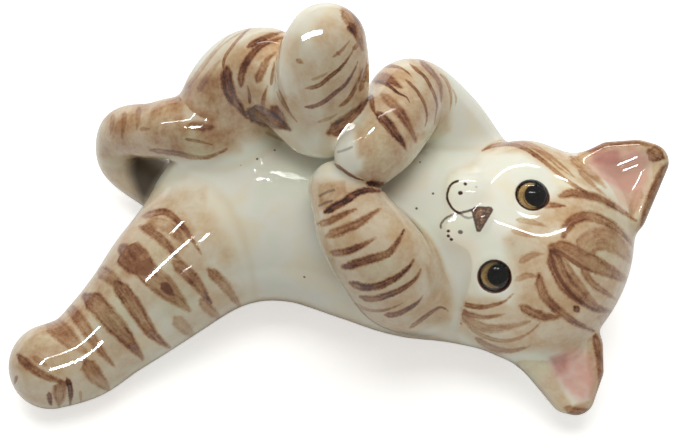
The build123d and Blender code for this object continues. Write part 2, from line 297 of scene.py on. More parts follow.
def piece_distances(points):
    """one row for each of PIECES"""
    rows = np.full((len(PIECES), len(points)), FAR)
    rows[0] = limb(points, "torso", TORSO_FLATTEN)
    close = np.linalg.norm(points - HEAD_CENTRE, axis=1) < 48
    rows[1][close] = head(points[close])
    rows[2][close] = ear(points[close], 1)
    rows[3][close] = ear(points[close], -1)
    rows[4] = limb(points, "left_hind_leg")
    rows[5] = limb(points, "right_thigh")
    rows[6] = join(limb(points, "right_shin"), limb(points, "right_foot"), 2.0)
    rows[7] = limb(points, "tail")
    rows[8] = limb(points, "right_foreleg")
    rows[9] = limb(points, "left_foreleg")
    return rows


def root_seam(points, key, root, free, start, end):
    """seam softness that falls from `root` to `free` away from a limb's root"""
    away = np.linalg.norm(points - np.asarray(SPINES[key][0][:3]), axis=1)
    return root + (free - root) * fade(away, start, end)


def from_vent(points):
    return np.hypot(points[:, 0] - VENT_X, points[:, 1] - VENT_Y)


def cut_socket(points, distance, side):
    """raises a soft ring about an eye and bores its socket"""
    centre, x, y, z = eye_frame(side)
    offset = points - centre
    close = (offset * offset).sum(1) < 81
    offset = offset[close]
    radius = np.sqrt((offset @ x)**2 + (offset @ y)**2)
    height = offset @ z
    ring = np.exp(-((radius - 4.3) / 1.1)**2) * np.exp(-(height / 3.0)**2)
    bore = np.maximum(radius - (EYE_RADIUS + SOCKET_GAP), -(height + SOCKET_DEPTH))
    distance[close] = overlap(distance[close] - 0.16 * ring, -bore, 0.5)


def surface(points):
    """the whole glazed surface as one distance field"""
    (torso, skull, right_ear, left_ear, left_hind, thigh, foot, tail,
     right_fore, left_fore) = piece_distances(points)
    body = join(torso, skull, 7.0)
    body = join(join(body, right_ear, 4.0), left_ear, 4.0)
    body = join(body, left_hind, 9.0)
    body = join(body, join(thigh, foot, 2.6), 5.0)
    tail_end = np.array([-28.0, 15.5, 36.0])
    tail_seam = 2.2 + 4.0 * np.exp(-((points - tail_end)**2).sum(1) / 90.0)
    body = join(body, tail, tail_seam)
    body = join(body, right_fore, root_seam(points, "right_foreleg", 6.0, 0.9, 10, 26))
    body = join(body, left_fore, root_seam(points, "left_foreleg", 5.0, 0.9, 9, 24))
    for wave, phase, height in LUMPS:
        body = body + height * np.sin(points @ np.array(wave) + phase)
    for side in (1, -1):
        cut_socket(points, body, side)
    vent = np.maximum(from_vent(points) - VENT_RADIUS, points[:, 2] - VENT_TOP)
    return overlap(overlap(body, -points[:, 2], 1.2), -vent, 0.5)


# ------------------------------------------------------------------ from field to mesh
def in_chunks(function, points, axis=0, size=400_000):
    return np.concatenate([function(points[i:i + size])
                           for i in range(0, len(points), size)], axis=axis)


def upsample(field, factor):
    """linear steps between the samples, one axis after another"""
    share = (np.arange(factor) / factor).astype(np.float32)
    for axis in range(3):
        shape = list(field.shape)
        count = shape[axis] - 1
        low = np.expand_dims(np.take(field, np.arange(count), axis), axis + 1)
        high = np.expand_dims(np.take(field, np.arange(1, count + 1), axis), axis + 1)
        weight = share.reshape([factor if i == axis + 1 else 1 for i in range(4)])
        shape[axis] = count * factor
        field = (low * (1 - weight) + high * weight).reshape(shape)
    return field


def mesh_surface():
    """samples coarsely everywhere and finely near the surface, then meshes it"""
    pitch = VOXEL * COARSE
    counts = np.ceil((BOX_HIGH - BOX_LOW) / pitch).astype(int) + 1
    axes = [BOX_LOW[i] + np.arange(counts[i]) * pitch for i in range(3)]
    corners = np.meshgrid(*axes, indexing="ij")
    coarse = in_chunks(surface, np.stack([corner.ravel() for corner in corners], 1))
    field = upsample(coarse.reshape(corners[0].shape).astype(np.float32), COARSE)
    near = np.nonzero(np.abs(field) < 1.0 + pitch * 0.35)
    points = np.stack([BOX_LOW[i] + near[i] * VOXEL for i in range(3)], 1)
    field[near] = in_chunks(surface, points).astype(np.float32)
    grid = vdb.FloatGrid(1.5)
    grid.copyFromArray(np.clip(field, -1.5, 1.5))
    points, quads = grid.convertToQuads(isovalue=0.0)
    return np.asarray(points, float) * VOXEL + BOX_LOW, np.asarray(quads, np.int64)


def normals_at(points, reach):
    corners = np.array([(1, -1, -1), (-1, -1, 1), (-1, 1, -1), (1, 1, 1)], float)

    def gradient(part):
        return sum(corner * surface(part + corner * reach)[:, None] for corner in corners)

    slopes = in_chunks(gradient, points)
    return slopes / np.maximum(np.linalg.norm(slopes, axis=1, keepdims=True), 1e-9)


verts, quads = mesh_surface()
normals = normals_at(verts, 0.25)
verts = verts - normals * np.clip(in_chunks(surface, verts), -0.2, 0.2)[:, None]
face_out = np.cross(verts[quads[:, 2]] - verts[quads[:, 0]],
                    verts[quads[:, 3]] - verts[quads[:, 1]])
if (face_out * normals[quads[:, 0]]).sum() < 0:
    quads = quads[:, ::-1].copy()
# away from the face, base and vent the glaze ran smooth, so shading follows a wider reach
smoothed = fade(np.linalg.norm(verts - HEAD_CENTRE, axis=1), 30, 36)
smoothed = smoothed * fade(verts[:, 2], 0.6, 2.0) * fade(from_vent(verts), 3.0, 4.0)
normals = normals + (normals_at(verts, 0.9) - normals) * smoothed[:, None]
normals /= np.linalg.norm(normals, axis=1, keepdims=True)

# ------------------------------------------------------------------ faces to pieces
distances = in_chunks(piece_distances, verts, axis=1)
nearest = distances.argmin(0)
labels = sum(distances[:, quads[:, i]] for i in range(4)).argmin(0)


def quad_edges(faces):
    return np.concatenate([faces[:, [i, (i + 1) % 4]] for i in range(4)])


def face_neighbours():
    """pairs of faces that share an edge"""
    face = np.tile(np.arange(len(quads)), 4)
    ends = np.sort(quad_edges(quads), 1)
    key = ends[:, 0] * (len(verts) + 1) + ends[:, 1]
    order = np.argsort(key, kind="stable")
    key = key[order]
    same = np.nonzero(key[1:] == key[:-1])[0]
    return face[order[same]], face[order[same + 1]]


def islands(first, second):
    """for each face, the lowest face in its connected patch of one label"""
    parent = np.arange(len(quads))
    same = labels[first] == labels[second]
    first, second = first[same], second[same]
    for _ in range(200):
        root_a, root_b = parent[first], parent[second]
        if (root_a == root_b).all():
            break
        low = np.minimum(root_a, root_b)
        np.minimum.at(parent, root_a, low)
        np.minimum.at(parent, root_b, low)
        for _ in range(4):
            parent = parent[parent]
    return parent


# every patch but a piece's largest is given to a piece that touches it
side_a, side_b = face_neighbours()
for _ in range(4):
    roots, patch_of, sizes = np.unique(islands(side_a, side_b), return_inverse=True,
                                       return_counts=True)
    keep = np.zeros(len(roots), bool)
    for piece in range(len(PIECES)):
        mine = np.nonzero(labels[roots] == piece)[0]
        if len(mine):
            keep[mine[sizes[mine].argmax()]] = True
    stray = ~keep[patch_of]
    if not stray.any():
        break
    touched = np.full(len(quads), -1)
    for inner, outer in ((side_a, side_b), (side_b, side_a)):
        border = stray[inner] & ~stray[outer]
        touched[roots[patch_of[inner[border]]]] = labels[outer[border]]
    taker = touched[roots[patch_of]]
    moved = stray & (taker >= 0)
    labels[moved] = taker[moved]

# ------------------------------------------------------------------ brush tables
# The parts a brush follows: pieces, and how far a stroke may run on past them to the torso
BRUSHED = {
    "left_hind_leg": (["left_hind_leg"], 8.5),
    "tail": (["tail"], 2.6),
    "right_hind_leg": (["right_thigh", "right_hind_foot"], 2.6),
    "right_foot": (["right_hind_foot"], 0.8),
    "right_foreleg": (["right_foreleg"], 1.0),
    "left_foreleg": (["left_foreleg"], 0.9),
    "head": (["head", "right_ear", "left_ear"], 1.3),
    "right_ear": (["right_ear"], 0.4),
    "left_ear": (["left_ear"], 0.4),
    "face": (["torso", "head"], 1.0),
}


def read_table(text):
    """rows of (part, amount, size, points) from text

    A name with a colon sets the part, two plain numbers start a row, x,y pairs follow.
    """
    rows, numbers = [], []
    for token in text.split():
        if token.endswith(":"):
            part = token[:-1]
        elif "," in token:
            rows[-1][3].append(tuple(float(value) for value in token.split(",")))
        else:
            numbers.append(float(token))
            if len(numbers) == 2:
                rows.append((part, *numbers, []))
                numbers = []
    return rows


# Tabby strokes: tone, width, then the path on the plan
STROKES = read_table("""
left_hind_leg:
0.55 1.59 -44.5,0.7 -42,1.6 -39.7,1.8 -36.5,-0.7 -33.8,-4.1 -31.5,-7.7
0.34 2.73 -43.1,-0.9 -40.1,-0.9 -37.2,-3 -34.9,-5.9
0.45 2.05 -45.2,-1.6 -42.7,-2.7 -39.7,-5.2 -37.2,-8.2 -35.4,-10
0.56 6.14 -49,-6.8 -47,-8.6 -44.5,-10.5 -41.8,-12.3
0.48 4.78 -45.8,-9.8 -42.7,-12.7 -39.5,-15.5 -36.7,-18.2 -34.2,-20.5
0.72 2.27 -40.4,-14.6 -39,-15.9 -37.6,-17.3
0.58 2.73 -37.6,-9.6 -34.7,-12.1 -32.4,-14.6 -30.6,-17.1 -29.2,-18.9
0.38 2.27 -31.5,-18.2 -29.2,-20.7 -26.7,-23
0.5 2.27 -29.7,-11.4 -27,-13.9 -24.5,-17.1 -22.4,-20.2
0.42 2.96 -54.9,-11.4 -52.2,-13 -49.7,-15.9
0.62 3.41 -50.9,-14.3 -48.3,-17.5 -45.8,-21.2 -43.1,-25.2 -40.8,-27.5 -38.8,-28.9
0.55 4.32 -57.7,-17.5 -55.4,-19.1 -52.9,-21.8 -50.4,-24.6 -47.7,-27.8 -44.9,-31.4
0.45 2.5 -62.2,-19.1 -59.5,-22.3 -57.2,-25.5 -54.5,-29.6 -51.3,-33.2
0.34 4.09 -66.1,-23.2 -63.1,-25.5 -60,-28.4 -57.7,-30
0.45 3.41 -57.7,-32.3 -55.9,-35 -53.8,-37.3 -52.2,-38.9
0.52 1.82 -73.1,-30.7 -70,-33.7 -66.5,-35.7 -64,-36.6 -61.3,-37.3
0.28 1.36 -69.5,-31.2 -66.5,-33.2
0.28 0.46 -64.3,-27.3 -62.5,-28.4 -60.9,-30.3
0.85 1.14 -62,-36 -61.3,-38.2 -61.3,-42.3
0.8 1.14 -66.1,-39.4 -65.6,-42.3
0.5 2.96 -63.6,-37.3 -63.8,-42.3
0.3 0.68 -59,-38.9 -58.8,-41.6
0.6 0.68 -73.4,-35.5 -74,-37.5
0.3 2.73 -37.4,-22.3 -34.7,-25 -32.6,-26.9
right_hind_leg:
0.6 0.68 -26.5,34.6 -26.1,36.9 -24.7,39.1 -22.6,41.6 -19.9,43.9 -17.6,44.6
0.6 1.59 -22.4,30.5 -22.2,33.4 -20.8,36.4 -18.8,38.9 -15.8,40.5 -12.6,41.6
0.6 1.36 -20.8,39.4 -18.5,40.7 -15.8,41.9 -12.2,43
0.5 1.82 -18.8,31.4 -17.6,34.1 -16.3,36.4 -14.7,38
0.5 0.68 -15.6,30.7 -15.1,34.1 -14.7,36.4
0.45 0.91 -17.6,25 -17.2,28 -16.3,30.7
0.5 0.68 -20.4,26.6 -20.6,29.1 -21,30.7
0.5 0.68 -14,29.6 -12.8,27.3 -11.3,24.6
0.68 2.5 -25.6,34.6 -25.6,31.9 -24.7,28.4 -22.6,25.5 -21,23.2
0.74 3.87 -20.4,24.6 -17.6,23.7 -14.7,22.5 -11.3,20.7
0.5 1.82 -15.4,25.7 -13.5,23.9 -11.9,21.2
0.25 0.68 -16.9,20 -12.4,17.8
0.34 0.57 -34.5,30 -31.7,33.7 -28.3,38.2 -24.5,41.4 -21,43.2
0.28 0.46 -36.3,28.4 -33.3,32.5 -29,38 -23.6,43 -18.5,44.6
0.22 1.36 -32.2,29.1 -29.9,32.8 -27,36.4
right_foot:
0.42 0.91 3.1,38.7 4.4,40.3 5.3,41.9
0.3 0.68 -6.3,31.9 -4,32.8 -2.2,33.9
0.34 0.68 -4.9,22.3 -2.6,23 -0.3,24.3
tail:
0.5 1.82 -33.3,30 -31.7,29.8
0.35 2.73 -30.6,31.9 -26.1,31.9
0.4 1.14 -36.3,27.8 -34.9,27.5
0.35 2.05 -34,21.6 -28.3,20.9
0.25 1.14 -51.5,23.9 -52.2,19.3
0.25 1.14 -48.8,24.6 -49.5,18.7
0.25 1.14 -45.6,25.5 -46.1,20.5
0.3 0.91 -45.4,20.7 -43.1,20.7
0.4 0.68 -35.1,18.4 -31.7,17.8 -28.8,17.1
0.5 1.14 -43.1,15.9 -37.4,15.2 -30.6,14.1 -26.1,15.9 -23.8,17.1
right_foot:
0.52 2.73 0.8,47.8 2.8,45.5 4.2,42.5 5.3,38.7
0.72 2.05 2.4,44.6 3.8,42.3
0.5 0.91 -0.6,38.2 0.1,37.5
0.4 1.14 -9.7,36.4 -8.3,35.7
0.6 0.91 -7.8,30 -4.9,30.5 -2.6,32.3 -0.3,34.1 1.7,36.4 3.1,38.7
0.7 0.91 -7.8,25.7 -5.6,25.9 -3.3,27.1 -1,28.9 1.2,30.7 2.8,33 4.2,36
0.5 0.91 0.1,25.9 1.7,27.1 3.1,29.1 4.4,31.9 5.3,34.6
0.4 0.68 -1.5,37.1 0.6,38.7 2.4,41
0.5 1.14 4.7,29.6 5.6,32.3 6.3,35.3
0.74 3.19 -2.2,20 0.1,21.2 2.4,22.8 4.7,25 6.5,27.8
0.5 0.68 -14.2,29.1 -12.8,26.6 -11.3,24.3 -9.7,22.3
right_foreleg:
0.6 0.68 8.3,34.4 10.8,35 13.3,34.8 15.1,33.9 16.5,32.5
0.5 0.68 15.1,31.9 17.4,29.6 18.8,27.5 19.7,25.2 19.9,23.2 19.4,21.2
0.6 0.68 16,35.5 17.6,34.1 19.4,32.5 20.6,30.5 21.7,28.2 22.2,26.2 21.9,23.9 21.5,21.6
0.5 1.14 18.3,36.4 19.9,34.8 21.5,33 22.6,31.4 23.1,29.4 23.1,26.9
0.45 0.68 22.9,33.2 24.2,31.9 25.1,29.8 25.4,27.5 25.1,25
0.3 0.46 25.6,29.8 26.5,28 26.3,25.9
0.5 2.27 7.4,31.9 10.3,32.3 12.2,31.4 14.2,30
0.7 0.68 8.1,31.6 11,30.7 13.3,28.9 15.4,27.8 16,26.6
0.48 2.05 9.7,28.4 11.9,26.6 14.2,23.9 16,20.9 17.4,17.8
0.68 2.05 8.5,24.3 10.6,22.3 12.4,20 14.2,17.8 15.1,16.1
0.6 1.14 7.2,28.4 7.6,25.5 8.3,23.9
0.7 0.68 -1,12.7 0.8,11.4 2.8,10 5.8,8.9
0.9 1.82 6.5,8.4 9.2,7.7 11.9,8.4
left_foreleg:
0.85 1.59 -3.3,1.8 -1,3 1.2,4.3 3.5,5.9 6.3,6.8 9.2,6.6 11,7.3
0.55 1.59 -4.9,-0.9 -2.8,-0.5 -0.3,0.7 2.4,2 3.8,2.5
0.55 2.05 -2.8,-3.6 0.6,-2.3 3.8,-1.1 6.5,0.7 9.2,2.5
0.65 1.59 -1.9,-7.3 0.1,-7.5 2.8,-6.8 5.3,-5.7 8.3,-4.1
0.75 1.82 0.8,-10.7 3.5,-10 6.3,-9.1 8.8,-8.4 11.5,-7.3 13.1,-5.2 14.7,-2.3
0.75 1.59 2.4,-14.3 5.1,-15.2 8.1,-15.2 11,-14.1 13.8,-12.5 15.8,-10.7 16.9,-8.9
0.7 1.36 4.7,-17.5 7.4,-18 10.3,-17.3 13.8,-15.9 16.3,-14.3 17.9,-12.5 18.5,-11.2
0.45 0.68 3.5,-18.9 5.8,-20.2 8.8,-20.7 11.9,-20 14.4,-18.9
0.7 1.14 10.3,-21.6 13.1,-21.4 15.6,-20.2 17.6,-18.9 19,-17.1
0.6 0.91 16,-24.6 17.9,-23.2 19.4,-22.1 21.3,-20.7 23.1,-19.8 24.7,-20.7
head:
0.5 0.68 24.7,-20.7 26.3,-22.1 27.9,-23.9
0.52 0.91 32.2,15.7 34.7,16.8 38.1,17.3 41.5,16.6 44.5,14.8 47.9,12.1 51.3,9.3
    55.2,6.8 60.4,4.1 65,1.1 67.7,-0.2
0.36 0.68 32,17.8 35.4,18.4 39.2,18.2 43.3,16.8 47.2,14.3 50.6,11.4 53.4,9.8
0.34 0.68 41.1,18.2 44.9,16.6 48.3,14.3 51.8,11.4 53.6,9.6
0.4 2.05 52.7,14.3 55.2,12.1 58.1,9.8 60.6,7.3
0.35 0.91 54.3,11.4 57.4,8.2 60.6,5.5
0.52 1.82 50.2,5.5 52.9,6.1 56.3,5.7 60.4,4.3 63.8,2.3 67.5,-0.2
0.52 2.27 50.9,-3.6 52.4,-0.7 55.9,0.9 59.7,0 63.1,-2 66.8,-5.9
0.36 5 55.2,-7.3 57.4,-4.8 60.6,-4.3 63.8,-6.4 66.3,-9.6
0.5 3.87 48.3,-6.1 52.4,-7.3 57,-9.6 61.5,-11.8 66.3,-14.3
0.62 0.91 48.6,-6.4 51.5,-8.2 54.7,-10.5 59.3,-12.3
0.42 1.59 55.2,-10.7 57.4,-14.3 60.6,-16.6 63.1,-18.2
0.58 3.41 48.3,-7.3 49.5,-10.7 51.8,-14.8 54.7,-17.5 58.1,-19.8 62,-20.9
0.7 0.91 48.1,-7.7 49,-10.9 51.1,-14.8 54,-17.8 57.4,-20 60.6,-21.2
0.38 1.59 50.6,-8.4 52.4,-11.8 54.7,-14.8 57.9,-18.2
0.58 2.05 45.4,-12.5 46.1,-16.4 48.3,-19.3 51.8,-22.1 54.7,-23.9 57.9,-25.2
0.58 2.05 41.3,-19.6 44,-21.2 47.4,-22.1 50.9,-21.6
0.85 1.59 53.6,-19.8 54.5,-20.9
0.55 1.14 24.2,-17.1 26.7,-18.4 30.1,-19.6 34.2,-19.6 37.6,-18.4 39.5,-16.8
0.5 1.36 24.7,-17.5 26.5,-19.8 29.2,-21.4 33.1,-22.1 37.6,-21.4
0.44 2.05 26.7,-20.2 29.7,-23 33.6,-24.6 38.8,-24.3 43.3,-23
0.36 0.91 29.2,-24.1 32.4,-26.2 37,-27.5 42,-26.4 45.8,-23.2
0.44 1.36 31.1,-26.9 34.2,-28.9 38.8,-29.8 43.3,-28.7
0.44 1.36 44.9,3.2 47.9,3.4 51.5,3.2
0.3 1.14 40.4,0 43.8,-0.5 47.4,-1.6
0.26 1.14 39.2,-2.3 42,-3.2 45.6,-4.1
0.3 1.59 41.1,-9.6 43.3,-8.2 46.3,-7.7
0.28 1.36 40.1,-13.7 42.4,-12.7 45.6,-13
0.3 2.73 59.3,-22.3 62,-22.8 64.3,-20.9
right_ear:
0.66 3.41 70.6,15.5 73.8,14.1
0.42 1.59 55.9,15.9 60.4,17.1 66.1,17.8 71.8,16.6
0.5 2.27 74.7,12.5 72.7,8.6 70.6,4.5 68.6,-1.1
0.3 2.27 68.4,6.8 67,3.4 66.1,0
left_ear:
0.5 1.82 58.1,-26.2 59,-30 59.5,-34.6 59.3,-39.1 58.6,-41.9
0.42 1.82 51.5,-42.8 54.3,-43.5 57,-43
""")
STROKE_SPREAD = 1.1     # the stain runs this much wider than the table
# Fine ink lines, then dots as very short lines: tone, width, path
INK_LINES = read_table("""
face:
1 0.6 26.96,8.87 25.82,8.42 25.14,7.74 24.68,6.6 24.46,5.46 24.68,4.32 25.14,3.41
    26.05,2.27 27.19,1.59
0.85 0.55 27.19,1.59 26.05,1.36 25.14,0.91 24.23,0.46 23.55,-0.23 23.09,-0.91 23.09,-1.82
0.9 0.6 27.19,1.59 28.32,1.82 29.23,2.05 30.14,2.27 31.28,2.27
0.55 0.6 27.19,1.59 27.87,1.14 28.55,0.68 29.46,0.46 30.37,0.68
right_foreleg:
0.45 0.6 -0.34,15.47 1.25,15.93 2.84,16.61
0.35 0.55 -0.57,12.06 1.48,10.92 3.75,9.78
left_foreleg:
0.55 0.66 -4.44,5.46 -2.84,6.37 -1.25,6.83
0.55 0.66 -4.66,3.19 -3.3,3.87 -1.71,4.32
face:
1 0.76 28.55,8.19 28.69,8.19
0.35 0.6 31.05,7.51 31.19,7.51
1 0.98 27.41,6.14 27.6,6.14
1 0.71 24.68,-2.5 24.82,-2.5
1 0.71 24.68,-3.64 24.82,-3.64
1 0.76 25.37,-4.44 25.5,-4.44
0.85 0.98 27.41,-2.73 27.6,-2.73
""")
# Soft washes: density (below zero wipes back to white), softness, then the outline; the first
# right_foot row is painted shade on the sole's left, lower side
WASHES = read_table("""
left_hind_leg:
0.22 2.5 -79.5,-25 -63.6,-13.7 -47.7,6.8 -32.6,6.8 -23.6,-8 -21.3,-25 -31.7,-34.1
    -54.5,-45.5 -77.2,-47.8
0.36 2.27 -77.2,-34.1 -68.1,-22.8 -54.5,-10.2 -45.4,3.4 -37.4,5.7 -30.6,-3.4 -35.1,-8
    -45.4,-12.5 -54.5,-20.5 -59,-29.6 -68.1,-36.4
0.28 1.59 -72.7,-28.4 -66.3,-23.9 -59,-29.6 -63.6,-37.5 -72.7,-35.3
-0.62 1.59 -46.5,-22.3 -40.8,-18.2 -36.7,-25 -32.6,-29.6 -43.1,-32.3 -47.2,-27.3
-0.6 1.02 -43.1,1.1 -39.5,1.4 -37.2,-0.9 -40.8,-1.4
-0.6 1.14 -30.6,-9.6 -27.2,-8.2 -23.6,-9.6 -21.3,-15.9 -25.4,-13.7
0.14 1.02 -28.6,-6.4 -25.4,-5.9 -23.3,-9.6 -25.8,-12.3 -28.6,-10
0.16 1.14 -41.3,6.8 -30.4,7.3 -29.9,2.7 -38.6,2.7
tail:
0.34 1.59 -59,28.4 -52.2,29.6 -51.8,13.7 -57.9,13.7
0.46 2.05 -53.6,29.6 -43.1,30.7 -29.5,36.4 -19.2,36.4 -17.6,15.9 -24.9,15.5 -40.8,14.1
    -49.9,12.5 -57.9,13.7
-0.7 1.59 -35.8,27.3 -30.8,28.2 -28.6,25 -30.6,21.4 -35.4,22.3
-0.5 1.36 -58.1,21.6 -53.6,22.8 -51.8,18.2 -55.4,15.9 -58.1,15.9
0.2 1.59 -57.9,15.9 -43.1,15.9 -40.8,3.4 -54.5,2.3
right_hind_leg:
0.36 2.05 -28.3,34.1 -23.8,39.8 -15.8,43.2 -9,41 -9,20.5 -22.6,18.2 -28.3,22.8
0.45 2.27 -36.3,31.9 -24.5,35 -22.6,25 -23.1,15.9 -36.3,15.9
-0.5 0.68 -28.6,35 -27.2,39.1 -23.6,43.7 -17.6,46.4 -11.3,46.4 -11.3,43.9 -17.6,44.6
    -22.2,41.9 -25.4,38.2 -26.7,34.6
-0.6 1.14 -19.2,36 -12.4,37.5 -9,29.6 -15.8,27.3
right_foot:
0.22 2.96 -12.2,36.9 -8.1,39.1 -3.3,36.4 -3.3,20.5 -9.9,18.2 -13.1,28.2
0.14 1.82 -17.6,28.2 -13.5,29.6 -9,20.5 -9,15.9 -14.4,18.2
0.32 4.55 -4.9,41 1.2,47.8 5.8,48.9 9.2,36.4 7.4,20.5 -2.2,18.2 -6.3,27.3
right_hind_leg:
0.18 1.02 -35.8,28.7 -29.9,36.9 -23.1,43.2 -17.6,45.5 -17.6,43.2 -23.6,40.5 -28.6,34.1
    -32.6,27.8
right_foot:
0.2 1.36 0.1,34.1 6,41 8.8,31.9 6.5,21.6 -1,19.3 -2.6,25
0.24 2.73 -6.3,46 1.2,47.3 2.4,35.5 -5.8,35
-0.5 2.96 -17.6,36.4 -12.2,48.2 -5.8,50 -7.6,38.7 -11.3,30.9 -15.8,30
right_foreleg:
0.34 1.59 4.7,36.4 13.8,38.7 20.6,37.5 25.1,30.7 24.7,20.5 17.2,15.9 13.8,8 4.7,6.8
    2.4,13.7 6.9,27.3
-0.9 0.8 -2.6,18.2 2.4,19.3 6,17.1 5.1,11.4 0.1,9.1 -2.2,12.5
0.4 1.02 6.9,14.8 13.8,14.8 14.2,8.6 6.5,8.2
0.34 1.14 3.5,21.6 9.2,22.8 10.3,14.1 4.2,14.1
-0.8 0.68 7.8,36 11.5,37.1 15.6,36.4 17.9,33.7 14.7,34.1 11.5,35.5
left_foreleg:
0.26 1.36 -9,9.1 4.7,9.1 18.3,6.8 25.1,-4.5 25.1,-22.8 13.8,-26.2 2.4,-20.5 -4.4,-6.8
0.4 0.8 -5.3,8.6 1.5,9.1 2.8,3.6 -4.9,1.8
0.1 1.14 13.8,2.3 21.7,1.1 22.9,-18.2 14.9,-18.2
head:
0.28 1.59 37.6,-4.5 50.2,6.8 59.3,6.8 68.4,-1.1 72.9,-9.1 66.5,-25 57,-29.6 41.1,-29.6
    36.5,-22.3 41.1,-15.9
0.27 1.02 32,18.7 41.1,19.6 50.2,15.9 59.3,9.6 57.4,6.4 47.9,11.8 41.1,15.5 33.1,15.5
0.34 1.36 47.4,3.4 59.3,4.5 60.2,-2.7 50.2,-3.6
0.18 1.36 37.6,-6.8 46.8,-6.4 49.2,-18.2 39.9,-18.7
0.22 1.14 24.2,-16.4 36.5,-18.2 46.8,-21.6 47.4,-28.4 34.2,-31.4 26.3,-23.9
-0.5 0.8 32,22.8 41.1,23.2 50.2,18.2 49.2,15.9 39.9,19.1 32.9,18.2
right_ear:
0.26 0.91 50.2,15.9 57,19.3 77.5,19.3 77.5,9.1 69.5,-5.7 63.8,-4.5 59.3,4.5
0.42 0.57 50.2,15.9 57,18.2 77.5,18.2 76.3,9.1 69.5,-4.5 67,-2.7 71.1,9.1 70.6,14.6
    61.5,15.9 57,14.1
left_ear:
0.42 0.57 55.9,-26.2 60.4,-25 60.6,-44.4 50.2,-45.5 53.6,-42.1 57,-41
0.2 0.8 36.5,-30 41.1,-36.4 50.2,-43.7 53.6,-43.7 50.2,-37.5 46.8,-30.7
""")
# Ear tints: strength, softness, outline
PINK_TINTS = read_table("""
right_ear:
0.95 1.36 56.5,14.1 60.4,15.5 67.9,16.4 70.6,14.1 70,10 68.4,6.4 65,5.9 60.4,8.4 57.4,11.4
0.45 1.59 59.3,9.1 69.5,7.7 68.4,2.3 63.8,3.2
left_ear:
0.92 1.36 47.7,-31.9 50.2,-30 55.2,-29.6 57.7,-31.9 58.1,-36.9 57.4,-40.3 54.7,-41.6
    51.5,-38.5 49,-35.3
""")
MAUVE_TINTS = read_table("""
right_ear: 0.75 0.91 57.4,15.9 63.4,16.1 64.3,13 60.4,12.3 57.9,13
left_ear: 0.7 0.91 48.1,-31.4 51.5,-30.7 51.8,-34.6 49.2,-35.5
""")
# Painted shade: inside this plan outline, where the tail curls past the hip, the colour is
# darkened to stand for the shadow in the hollow.
TAIL_HOLE_SHADE = [(-47.7, 15.0), (-36.7, 15.5), (-38.6, 11.8), (-41.3, 8.2), (-42.9, 5.2),
             (-44.7, 3.2), (-46.3, 5.9), (-47.9, 10.5)]
TAIL_HOLE_SHADE_NEAR = -12.5      # only points farther from the painter than this are darkened
NOSE_PATCH = [(30.14, 2.39), (31.05, 2.96), (34.47, 2.84), (34.81, 2.27), (31.96, -2.50),
              (31.28, -2.50)]
# Pinholes in the glaze: plan x, plan y, radius
PINHOLES = [(-8.1, -13.0, 0.26), (-1.2, -12.1, 0.20), (17.4, 2.5, 0.26), (18.3, 13.2, 0.20),
            (21.3, 6.1, 0.26), (-24.9, 14.8, 0.20), (-18.8, 13.9, 0.26), (-22.4, 12.7, 0.20),
            (-8.1, 15.5, 0.26), (-14.7, 15.9, 0.20)]


# ------------------------------------------------------------------ brush work
def plan(points):
    """where points fall on the plan, and how far they lie from the target to the painter"""
    offset = points - TARGET
    towards = offset @ TO_VIEWER
    scale = VIEW_DISTANCE / (VIEW_DISTANCE - towards)
    return (offset @ VIEW_RIGHT) * scale, (offset @ VIEW_UP) * scale, towards


plan_x, plan_y, towards_view = plan(verts)
facing = normals @ TO_VIEWER
on_torso = nearest == PIECES.index("torso")

# how far each vertex lies past a part's limit, so strokes end smoothly at the next part
past = {}
for part, (names, reach) in BRUSHED.items():
    members = [PIECES.index(name) for name in names]
    limit = np.where(on_torso, reach * np.clip(0.35 + facing, 0.1, 1), 0.45)
    past[part] = np.where(np.isin(nearest, members), -3.0, distances[members].min(0) - limit)


def region(part, points, margin, front=False):
    """vertices on a part and inside the box about some plan points"""
    low, high = np.min(points, 0) - margin, np.max(points, 0) + margin
    found = ((past[part] < 1.5) & (plan_x > low[0]) & (plan_x < high[0])
             & (plan_y > low[1]) & (plan_y < high[1]))
    if front:
        found &= facing > 0.05
    return np.nonzero(found)[0]


def new_layer(edge):
    """per vertex: the stroke that covers it most, then the second (edge2, tone2)"""
    count = len(verts)
    return dict(edge=np.full(count, edge), tone=np.full(count, 0.5), across=np.zeros(count),
                along=np.zeros(count), edge2=np.full(count, edge), tone2=np.full(count, 0.5))


def add_stroke(layer, index, edge, tone, across, along):
    first = edge - tone < layer["edge"][index] - layer["tone"][index]
    top = index[first]
    layer["edge2"][top] = layer["edge"][top]
    layer["tone2"][top] = layer["tone"][top]
    layer["edge"][top] = edge[first]
    layer["tone"][top] = tone
    layer["across"][top] = across[first]
    layer["along"][top] = along[first]
    below, below_edge = index[~first], edge[~first]
    closer = below_edge < layer["edge2"][below]
    layer["edge2"][below[closer]] = below_edge[closer]
    layer["tone2"][below[closer]] = tone


def smooth_path(knots):
    path = np.asarray(knots, float)
    if len(path) < 3:
        return path
    return resample(np.c_[path, np.zeros(len(path))], 3 * (len(path) - 1) + 1)[:, :2]


